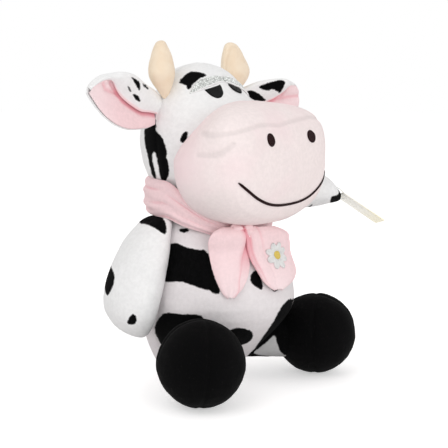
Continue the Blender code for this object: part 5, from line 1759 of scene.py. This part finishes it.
class COW_OT_scarf_tails(PieceOperator, bpy.types.Operator):
    """Hang the tails of the scarf on the chest"""

    bl_idname = "cow.scarf_tails"
    bl_label = "Scarf Tails"

    def execute(self, context):
        cloth = fleece("tail_fleece")
        near = lambda u, v: near_tail_at(NEAR_TAIL_ROWS, 0.0004, u, v)
        fold = lambda u, v: near_tail_at(FOLD_TAIL_ROWS, 0.0003, u, v)
        for name, word, nodes, point_at, fold_shade_at, flat, area, thick in (
            ("scarf_tail_right_cloth", "right", ["scarf_tail_right"],
             near, near_tail_shade, (0.040, 0.068), 0.0021, 0.0036),
            ("scarf_fold_right_cloth", "right", [],
             fold, fold_tail_shade, (0.028, 0.052), 0.0011, 0.0030),
            ("scarf_tail_left_cloth", "left", ["scarf_tail_left"],
             far_tail_at, far_tail_shade, (0.064, 0.070), 0.0034, 0.0030),
        ):
            obj, grid = cloth_grid(name, 40, 44, point_at)
            # Painted shade: deeper pink along the folds of each tail.
            set_mark(obj, "fold", [fold_shade_at(float(u), float(v)) for u, v in grid])
            # Painted light: paler down the tails and across their middle, out of the shade under the muzzle.
            painted_light_and_tone = np.clip(1.2 * grid[:, 1] - 0.1, 0.0, 1.0) * np.sin(math.pi * grid[:, 0]) ** 0.5
            set_mark(obj, "far", painted_light_and_tone)
            thickened(obj, thick)
            dress(obj, cloth, "pink_fleece")
            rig.blend(obj, "torso", f"scarf_tail_{word}", *TAIL_HINGE)
            if nodes:
                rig.replaces(obj, *nodes)
            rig.sheet(obj, flat=flat, held="hung", rests_on=["body_plush"], area=area)
        return {"FINISHED"}


class COW_OT_daisy(PieceOperator, bpy.types.Operator):
    """Sew a daisy on the left tail of the scarf"""

    bl_idname = "cow.daisy"
    bl_label = "Daisy"

    def execute(self, context):
        tree = face_rays(bpy.data.objects["scarf_tail_left_cloth"])
        place = turned(far_tail_at(0.56, 0.46), (math.radians(4.0), 0.0, math.radians(-8.0)))
        white = thread("petal_thread", tint("daisy_white"), 120.0, gloss=0.65, row_shade_and_highlight=(0.9, 1.05))
        gold = thread("daisy_thread", tint("daisy_gold"), 60.0, gloss=0.6)

        def petal(angle, u, v):
            reach = 0.0040 + 0.0088 * v
            side = (2.0 * u - 1.0) * 0.0032 * math.sin(math.pi * (0.14 + 0.80 * v)) ** 0.7
            c, s = math.cos(angle), math.sin(angle)
            return reach * c - side * s, reach * s + side * c

        petals = []
        for i in range(8):
            angle = 2.0 * math.pi * (i + 0.5) / 8
            obj = crowned_patch(f"petal_{i}", tree, place, lambda u, v: petal(angle, u, v), 0.0007, 8, 12)
            petals.append(obj)
        only(*petals)
        bpy.ops.object.join()
        settle(named("daisy_petals_stitch"), white, "white_plush", "scarf_tail_left", "daisy_petals")
        button = crowned_patch(
            "daisy_centre_stitch", tree, place, lambda u, v: disc(0.0043, 0.0043, u, v), 0.0013
        )
        settle(button, gold, "gold_thread", "scarf_tail_left", "daisy_centre")
        return {"FINISHED"}


class COW_OT_tag(PieceOperator, bpy.types.Operator):
    """Cut the bare card tag and its plastic loop"""

    bl_idname = "cow.tag"
    bl_label = "Hang Tag"

    def execute(self, context):
        obj = bpy.data.objects.new("tag_card", bpy.data.objects["hang_tag"].data.copy())
        context.scene.collection.objects.link(obj)
        only(obj)
        bpy.ops.object.mode_set(mode="EDIT")
        bpy.ops.mesh.select_all(action="SELECT")
        bpy.ops.mesh.remove_doubles(threshold=0.00001)
        bpy.ops.mesh.dissolve_limited(angle_limit=math.radians(2.0))
        bpy.ops.object.mode_set(mode="OBJECT")
        modify(obj, "BEVEL", width=0.00025, segments=2, limit_method="ANGLE", angle_limit=math.radians(50.0))
        modify(obj, "TRIANGULATE")
        reach = np.linalg.norm(points_of(obj) - np.array(TAG_NEAR_END), axis=1)
        set_mark(obj, "far", ramp(reach, 0.0, TAG_REACH))
        settle(obj, card(), "cream_card", "tag", "hang_tag")
        only(obj)
        bpy.ops.object.shade_smooth_by_angle(angle=math.radians(30.0))
        plastic = clear_plastic()
        for slot in bpy.data.objects["tag_loop"].material_slots:
            slot.material = plastic
        return {"FINISHED"}


class COW_OT_stage(PieceOperator, bpy.types.Operator):
    """Set the pale floor, the soft lights and the camera"""

    bl_idname = "cow.stage"
    bl_label = "Stage"

    def execute(self, context):
        scene = context.scene
        only()
        bpy.ops.mesh.primitive_plane_add(size=FLOOR_SIZE)
        floor = named("floor")
        recipe = new_material("floor")
        seen = recipe.rays("Is Camera Ray", "Is Glossy Ray", "Is Transmission Ray")
        matt = recipe.node("ShaderNodeBsdfDiffuse", None, {"Color": FLOOR_GREY})
        white = recipe.node("ShaderNodeEmission", None, {"Color": WHITE, "Strength": FLOOR_LIFT})
        lit = recipe.node("ShaderNodeAddShader", None, {0: matt, 1: white})
        cover = recipe.node("ShaderNodeMixShader", None, {0: seen, 1: matt, 2: lit})
        floor.data.materials.append(recipe.close(cover))
        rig.stage(floor)

        recipe = Recipe(bpy.data.worlds.new("studio"))
        seen = recipe.rays("Is Camera Ray", "Is Glossy Ray")
        soft = recipe.node("ShaderNodeBackground", None, {"Color": SKY, "Strength": SKY_STRENGTH})
        bright = recipe.node("ShaderNodeBackground", None, {"Color": WHITE, "Strength": 1.0})
        sky = recipe.node("ShaderNodeMixShader", None, {0: seen, 1: soft, 2: bright})
        scene.world = recipe.close(sky, "ShaderNodeOutputWorld")

        back, across, up = (Vector(axis) for axis in view_axes(FRONT_RIGHT))
        target = Vector(TARGET)
        camera = bpy.data.objects.new("camera", bpy.data.cameras.new("camera"))
        camera.data.lens = LENS
        camera.data.sensor_width = SENSOR
        camera.matrix_world = Matrix.Translation(target + back * CAMERA_DISTANCE) @ (
            Matrix((across, up, back)).transposed().to_4x4()
        )
        scene.collection.objects.link(camera)
        scene.camera = camera
        for name, (behind, aside, above), size, power in LAMPS:
            spot = back * behind + across * aside + up * above
            lamp = bpy.data.objects.new(name, bpy.data.lights.new(name, "AREA"))
            lamp.data.size = size
            lamp.data.energy = power
            lamp.location = target + spot
            lamp.rotation_euler = spot.to_track_quat("Z", "Y").to_euler()
            scene.collection.objects.link(lamp)
        scene.view_settings.view_transform = "Standard"
        return {"FINISHED"}


class COW_PT_panel(bpy.types.Panel):
    """Lists the pieces of the cow with its sizes and colours"""

    bl_idname = "COW_PT_panel"
    bl_label = "Plush Cow"
    bl_space_type = "VIEW_3D"
    bl_region_type = "UI"
    bl_category = "Plush Cow"

    def draw(self, context):
        layout = self.layout
        for piece in OPERATORS:
            layout.operator(piece.bl_idname)
        for group in (context.scene.cow_sizes, context.scene.cow_colours):
            box = layout.box()
            for key in group.__annotations__:
                box.prop(group, key)


OPERATORS = (
    COW_OT_body,
    COW_OT_head,
    COW_OT_muzzle,
    COW_OT_face,
    COW_OT_horns,
    COW_OT_ears,
    COW_OT_arms,
    COW_OT_legs,
    COW_OT_tail,
    COW_OT_scarf,
    COW_OT_scarf_tails,
    COW_OT_daisy,
    COW_OT_tag,
    COW_OT_stage,
)
CLASSES = (CowSizes, CowColours, *OPERATORS, COW_PT_panel)


def register():
    for cls in CLASSES:
        bpy.utils.register_class(cls)
    bpy.types.Scene.cow_sizes = bpy.props.PointerProperty(type=CowSizes)
    bpy.types.Scene.cow_colours = bpy.props.PointerProperty(type=CowColours)


def unregister():
    del bpy.types.Scene.cow_sizes
    del bpy.types.Scene.cow_colours
    for cls in reversed(CLASSES):
        bpy.utils.unregister_class(cls)


def main():
    """Build every piece in order, and write the two boxes."""
    register()
    bpy.ops.object.select_all(action="DESELECT")
    for piece in OPERATORS:
        group, name = piece.bl_idname.split(".")
        getattr(getattr(bpy.ops, group), name)()
    boxes = {"cad": [list(corner) for corner in CAD_BOX], "visual": [list(corner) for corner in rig.bounds()]}
    with open(SIZE_FILE, "w") as out:
        json.dump(boxes, out)


if __name__ == "__main__":
    main()
